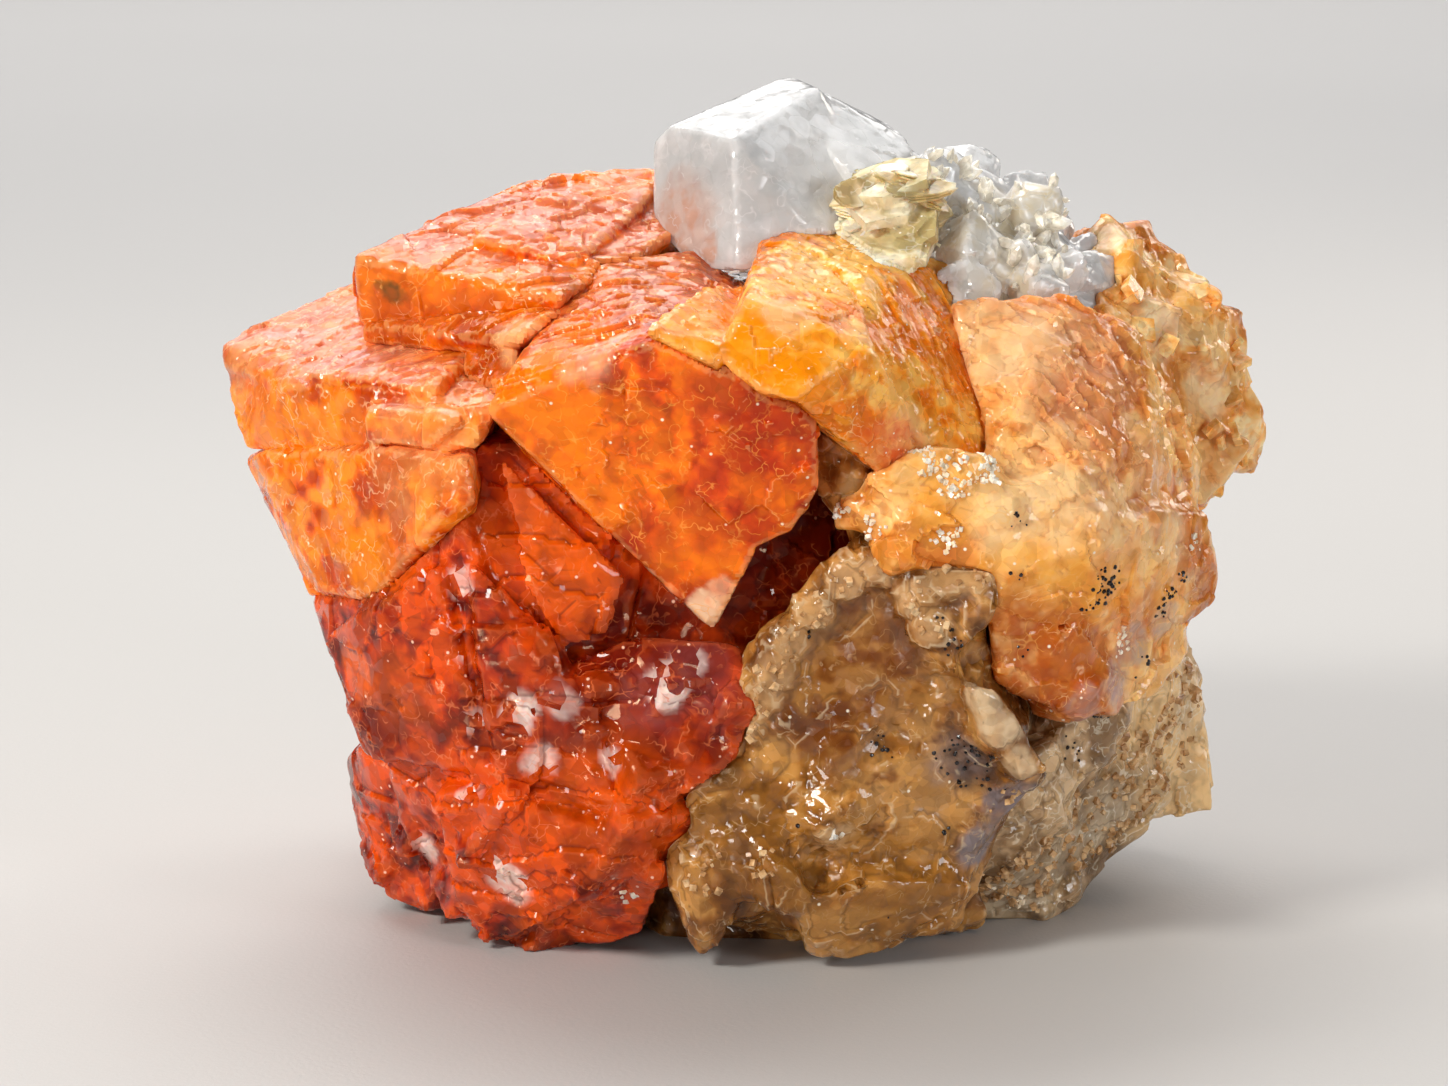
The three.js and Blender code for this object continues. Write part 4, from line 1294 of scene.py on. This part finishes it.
def grainTree(shape):
    # grains of one shape strewn over a patch
    tree = bpy.data.node_groups.new("grown " + shape, "GeometryNodeTree")
    sockets = tree.interface
    sockets.new_socket("Patch", in_out="INPUT", socket_type="NodeSocketGeometry")
    for label, kind in (
        ("Grains per mm2", "NodeSocketFloat"),
        ("Grain mm", "NodeSocketFloat"),
        ("Length ratio", "NodeSocketFloat"),
        ("Tilt", "NodeSocketFloat"),
        ("Seed", "NodeSocketInt"),
        ("Finish", "NodeSocketMaterial"),
    ):
        sockets.new_socket(label, in_out="INPUT", socket_type=kind)
    sockets.new_socket("Grains", in_out="OUTPUT", socket_type="NodeSocketGeometry")
    given = tree.nodes.new("NodeGroupInput").outputs
    spread = addNode(
        tree,
        "GeometryNodeDistributePointsOnFaces",
        {"Mesh": given["Patch"], "Seed": given["Seed"]},
        distribute_method="RANDOM",
    )
    tree.links.new(calc(tree, "MULTIPLY", given["Grains per mm2"], 1 / mm**2), spread.inputs["Density"])
    if shape == "rhomb":
        grain = addNode(tree, "GeometryNodeMeshCube", {"Size": (1, 0.9, 0.8)}).outputs["Mesh"]
    elif shape == "point":
        stem = addNode(tree, "GeometryNodeMeshCylinder", {"Vertices": 6, "Radius": 0.5, "Depth": 1.0})
        tip = addNode(
            tree,
            "GeometryNodeMeshCone",
            {"Vertices": 6, "Radius Top": 0.06, "Radius Bottom": 0.5, "Depth": 0.45},
        )
        tipOn = {"Geometry": tip.outputs["Mesh"], "Translation": (0, 0, 0.5)}
        lifted = addNode(tree, "GeometryNodeTransform", tipOn)
        both = tree.nodes.new("GeometryNodeJoinGeometry")
        tree.links.new(stem.outputs["Mesh"], both.inputs[0])
        tree.links.new(lifted.outputs["Geometry"], both.inputs[0])
        grain = both.outputs[0]
    else:
        ball = addNode(tree, "GeometryNodeMeshIcoSphere", {"Radius": 0.5, "Subdivisions": 1})
        grain = ball.outputs["Mesh"]
    stretch = addNode(tree, "ShaderNodeCombineXYZ", {0: 1.0, 1: 1.0, 2: given["Length ratio"]})
    shaped = addNode(tree, "GeometryNodeTransform", {"Geometry": grain, "Scale": stretch.outputs[0]})
    sizes = {2: 0.45, 3: 1.35, "Seed": given["Seed"]}  # the smallest and largest share
    chance = addNode(tree, "FunctionNodeRandomValue", sizes, data_type="FLOAT")
    size = calc(tree, "MULTIPLY", chance.outputs[1], calc(tree, "MULTIPLY", given["Grain mm"], mm))
    placed = addNode(
        tree,
        "GeometryNodeInstanceOnPoints",
        {
            "Points": spread.outputs["Points"],
            "Instance": shaped.outputs["Geometry"],
            "Rotation": spread.outputs["Rotation"],
            "Scale": size,
        },
    )
    tiltBy = {0: (1, 1, 1), "Scale": given["Tilt"]}
    most = addNode(tree, "ShaderNodeVectorMath", tiltBy, operation="SCALE").outputs[0]
    least = vectorCalc(tree, "MULTIPLY", most, (-1.0, -1.0, -1.0))
    tilts = {0: least, 1: most, "Seed": given["Seed"]}
    lean = addNode(tree, "FunctionNodeRandomValue", tilts, data_type="FLOAT_VECTOR")
    turned = addNode(
        tree,
        "GeometryNodeRotateInstances",
        {"Instances": placed.outputs["Instances"], "Rotation": lean.outputs[0], "Local Space": True},
    )
    solid = addNode(tree, "GeometryNodeRealizeInstances", {"Geometry": turned.outputs["Instances"]})
    dressed = {"Geometry": solid.outputs["Geometry"], "Material": given["Finish"]}
    finished = addNode(tree, "GeometryNodeSetMaterial", dressed)
    result = tree.nodes.new("NodeGroupOutput")
    tree.links.new(finished.outputs["Geometry"], result.inputs["Grains"])
    return tree


def patchUnder(nodes, places, seed):
    # the faces of these pieces within the places, as a mesh of their own
    points = []
    faces = []
    for node in nodes:
        mesh = pieces[node].data
        coords = coordsOf(mesh)
        chosen = dabs(coords, [(*place, 1) for place in places], seed) > 0.3
        number = np.full(len(coords), -1)
        number[chosen] = np.arange(chosen.sum()) + len(points)
        points.extend((coords[chosen] * mm).tolist())
        for polygon in mesh.polygons:
            corners = [int(number[i]) for i in polygon.vertices]
            if min(corners) >= 0:
                faces.append(corners)
    patch = bpy.data.meshes.new("patch")
    patch.from_pydata(points, [], faces)
    return patch


def growGrains(settings):
    shape = settings["shape"]
    if shape not in grainTrees:
        grainTrees[shape] = grainTree(shape)
    tree = grainTrees[shape]
    patch = patchUnder(settings["on"], settings["places"], settings["seed"])
    obj = bpy.data.objects.new(settings["name"], patch)
    scene.collection.objects.link(obj)
    grow = obj.modifiers.new("grains", "NODES")
    grow.node_group = tree
    values = {
        "Grains per mm2": settings["perMm2"],
        "Grain mm": settings["grainMm"],
        "Length ratio": settings.get("lengthRatio", 1.0),
        "Tilt": settings["tilt"],
        "Seed": settings["seed"],
        "Finish": settings["material"],
    }
    for socket in tree.interface.items_tree:
        if socket.name in values:
            grow[socket.identifier] = values[socket.name]
    mesh = bpy.data.meshes.new_from_object(obj.evaluated_get(bpy.context.evaluated_depsgraph_get()))
    obj.modifiers.clear()
    obj.data = mesh
    mesh.name = settings["name"]
    setCoords(mesh, coordsOf(mesh))
    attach(obj, "root")
    print(settings["name"], len(mesh.polygons), "faces")


def grainFinish(name, colours, shaderValues=calciteShader, roughness=(0.12, 0.35)):
    material, tree, shader = startMaterial(name, shaderValues)
    place = placeInMm(tree)
    uneven = noise(tree, place, 1.2, 3)
    colour = shadeRamp(tree, uneven, colours)
    facet = voronoi(tree, place, 0.7)
    colour = mixed(tree, 1.0, colour, band(tree, facet.outputs["Color"], 0, 1, 0.8, 1.2), "MULTIPLY")
    tree.links.new(colour, shader.inputs["Base Color"])
    tree.links.new(band(tree, uneven, 0.35, 0.65, *roughness), shader.inputs["Roughness"])
    bump = addNode(tree, "ShaderNodeBump", {"Height": chipHeight(tree, place, 0.6, 0.2), "Distance": mm})
    tree.links.new(bump.outputs["Normal"], shader.inputs["Normal"])
    return material


blackFinish = grainFinish("black ore grains", ((14, 12, 12), (26, 22, 22), (52, 46, 44)))
grainShader = {**calciteShader, "Subsurface Weight": 0.0}
whiteColours = ((250, 222, 180), (255, 238, 210), (255, 250, 238))
whiteFinish = grainFinish("white crumbly calcite", whiteColours, grainShader)
rimColours = ((176, 128, 80), (208, 162, 110), (232, 196, 148))
rimFinish = grainFinish("tan sugary calcite", rimColours, grainShader)
peachColours = ((240, 166, 84), (250, 194, 120), (255, 220, 160))
peachFinish = grainFinish("peach crystal points", peachColours, scheeliteShader)
druseFinish = grainFinish(
    "clear quartz points",
    ((224, 214, 194), (240, 232, 214), (253, 249, 240)),
    {**quartzShader, "Transmission Weight": 0.15},
    (0.03, 0.15),
)

everywhere = list(pieces)
# a place is two pixel coordinates of the photograph and a radius in millimetres
grainPatches = (
    {
        "name": "black_grains",
        "shape": "bead",
        "on": everywhere,
        "perMm2": 1.8,
        "grainMm": 0.36,
        "tilt": 3.0,
        "seed": 1,
        "material": blackFinish,
        "slot": "honey_calcite",
        "places": [
            (970, 755, 3.0), (995, 780, 1.4), (880, 745, 1.8), (800, 630, 1.2), (945, 640, 1.6),
            (960, 670, 1.3), (935, 612, 1.0), (1012, 520, 1.2), (1015, 576, 1.1), (1018, 650, 1.2),
            (1105, 582, 2.2), (1085, 600, 1.1), (1165, 600, 1.8), (1180, 578, 1.2), (945, 830, 1.1),
            (1065, 750, 1.7), (1100, 715, 1.2), (1140, 665, 1.2), (685, 793, 0.8), (802, 823, 0.8),
            (880, 920, 1.0), (735, 280, 0.9),
        ],
    },
    {
        "name": "white_crumbs",
        "shape": "rhomb",
        "on": everywhere,
        "perMm2": 4.2,
        "grainMm": 0.36,
        "tilt": 3.0,
        "seed": 2,
        "material": whiteFinish,
        "slot": "pale_calcite",
        "places": [
            (925, 462, 1.5), (955, 480, 2.0), (985, 470, 1.6), (875, 525, 1.6), (845, 515, 1.1),
            (950, 540, 1.4), (1120, 640, 1.4), (990, 880, 1.3), (1015, 900, 1.3), (1190, 540, 1.0),
            (628, 895, 1.2), (835, 835, 1.0),
        ],
    },
    {
        "name": "rim_sugar",
        "shape": "rhomb",
        "on": ["calcite_matrix"],
        "perMm2": 0.8,
        "grainMm": 0.5,
        "tilt": 3.0,
        "seed": 3,
        "material": rimFinish,
        "slot": "honey_calcite",
        "places": [(x, y, 1.8) for x, y in rimPath] + [(705, 870, 2.2), (760, 860, 2.0), (1000, 800, 2)],
    },
    {
        "name": "spur_sugar",
        "shape": "rhomb",
        "on": ["calcite_spur"],
        "perMm2": 0.9,
        "grainMm": 0.55,
        "tilt": 3.0,
        "seed": 4,
        "material": rimFinish,
        "slot": "pale_calcite",
        "places": [(1170, 720, 5), (1100, 800, 6), (1020, 870, 5), (1140, 770, 4)],
    },
    {
        "name": "crust_points",
        "shape": "rhomb",
        "on": ["peach_scheelite_crust", "right_scheelite_mass"],
        "perMm2": 0.07,
        "grainMm": 1.7,
        "lengthRatio": 0.45,
        "tilt": 1.2,
        "seed": 5,
        "material": peachFinish,
        "slot": "crust_scheelite",
        "places": [(1120, 260, 5), (1180, 310, 6), (1210, 380, 6), (1200, 440, 5), (860, 450, 3)],
    },
    {
        "name": "quartz_druse",
        "shape": "point",
        "on": ["quartz_cluster"],
        "perMm2": 0.3,
        "grainMm": 1.0,
        "lengthRatio": 1.6,
        "tilt": 0.7,
        "seed": 6,
        "material": druseFinish,
        "slot": "clear_quartz",
        "places": [(1000, 230, 5), (1040, 260, 4), (960, 180, 4), (1050, 210, 3), (940, 160, 3)],
    },
)
for patchSettings in grainPatches:
    growGrains(patchSettings)

# Floor and lights

studio = {
    "floorMm": 4000,
    "floorColour": (190, 188, 185),
    "floorLighter": 6,  # screen values between its darkest and lightest clouds
    "floorCloudMm": 300,
    "floorGrainMm": 0.5,
    "floorGrainDepthMm": 0.03,
    "floorRoughness": 0.6,
    "skyColour": (236, 238, 242),
    "worldStrength": 0.14,
    # where each soft light hangs, what it points at, its size in millimetres, its watts and its colour
    "lights": (
        ("backdrop", (0, 900, 1000), (0, 1000, 0), (2000, 1200), 15.0, (250, 250, 252)),
        ("overhead", (-80, 160, 330), (0, 0, 40), (200, 120), 0.45, (255, 250, 244)),
        ("key", (-300, -260, 300), (0, 0, 30), (110, 90), 1.6, (255, 252, 246)),
        ("fill", (330, -300, 140), (0, 0, 30), (120, 100), 0.6, (246, 250, 255)),
        ("front", (-190, -380, 60), (0, 0, 30), (60, 60), 0.3, (255, 252, 248)),
        ("rim", (-100, 900, 380), (0, 0, 45), (900, 300), 1.8, (255, 252, 250)),
        ("edge", (300, 260, 200), (0, 0, 40), (120, 200), 0.4, (255, 246, 236)),
    ),
}


def addFloor():
    half = studio["floorMm"] * mm / 2
    mesh = bpy.data.meshes.new("floor")
    corners = [(-half, -half, 0), (half, -half, 0), (half, half, 0), (-half, half, 0)]
    mesh.from_pydata(corners, [], [(0, 1, 2, 3)])
    obj = bpy.data.objects.new("floor", mesh)
    scene.collection.objects.link(obj)
    material = bpy.data.materials.new("pale studio floor")
    material.use_nodes = True
    tree = material.node_tree
    shader = tree.nodes["Principled BSDF"]
    place = placeInMm(tree)
    dark = colourOf(*studio["floorColour"])
    light = colourOf(*(c + studio["floorLighter"] for c in studio["floorColour"]))
    soft = mixed(tree, noise(tree, place, studio["floorCloudMm"], 2), dark, light)
    tree.links.new(soft, shader.inputs["Base Color"])
    grain = noise(tree, place, studio["floorGrainMm"], 2)
    bump = addNode(
        tree, "ShaderNodeBump", {"Height": grain, "Distance": studio["floorGrainDepthMm"] * mm}
    )
    tree.links.new(bump.outputs["Normal"], shader.inputs["Normal"])
    shader.inputs["Roughness"].default_value = studio["floorRoughness"]
    mesh.materials.append(material)


def addLights():
    for name, place, aim, size, power, colour in studio["lights"]:
        data = bpy.data.lights.new(name, "AREA")
        data.shape = "RECTANGLE"
        data.size, data.size_y = (side * mm for side in size)
        data.energy = power
        data.color = colourOf(*colour)[:3]
        lamp = bpy.data.objects.new(name, data)
        lamp.location = Vector(place) * mm
        lamp.rotation_euler = (lamp.location - Vector(aim) * mm).to_track_quat("Z", "Y").to_euler()
        scene.collection.objects.link(lamp)
    world = bpy.data.worlds.new("studio")
    world.use_nodes = True
    sky = world.node_tree.nodes["Background"]
    sky.inputs["Color"].default_value = colourOf(*studio["skyColour"])
    sky.inputs["Strength"].default_value = studio["worldStrength"]
    scene.world = world
    scene.view_settings.view_transform = "Standard"


addFloor()
addLights()
print("floor and lights in place")
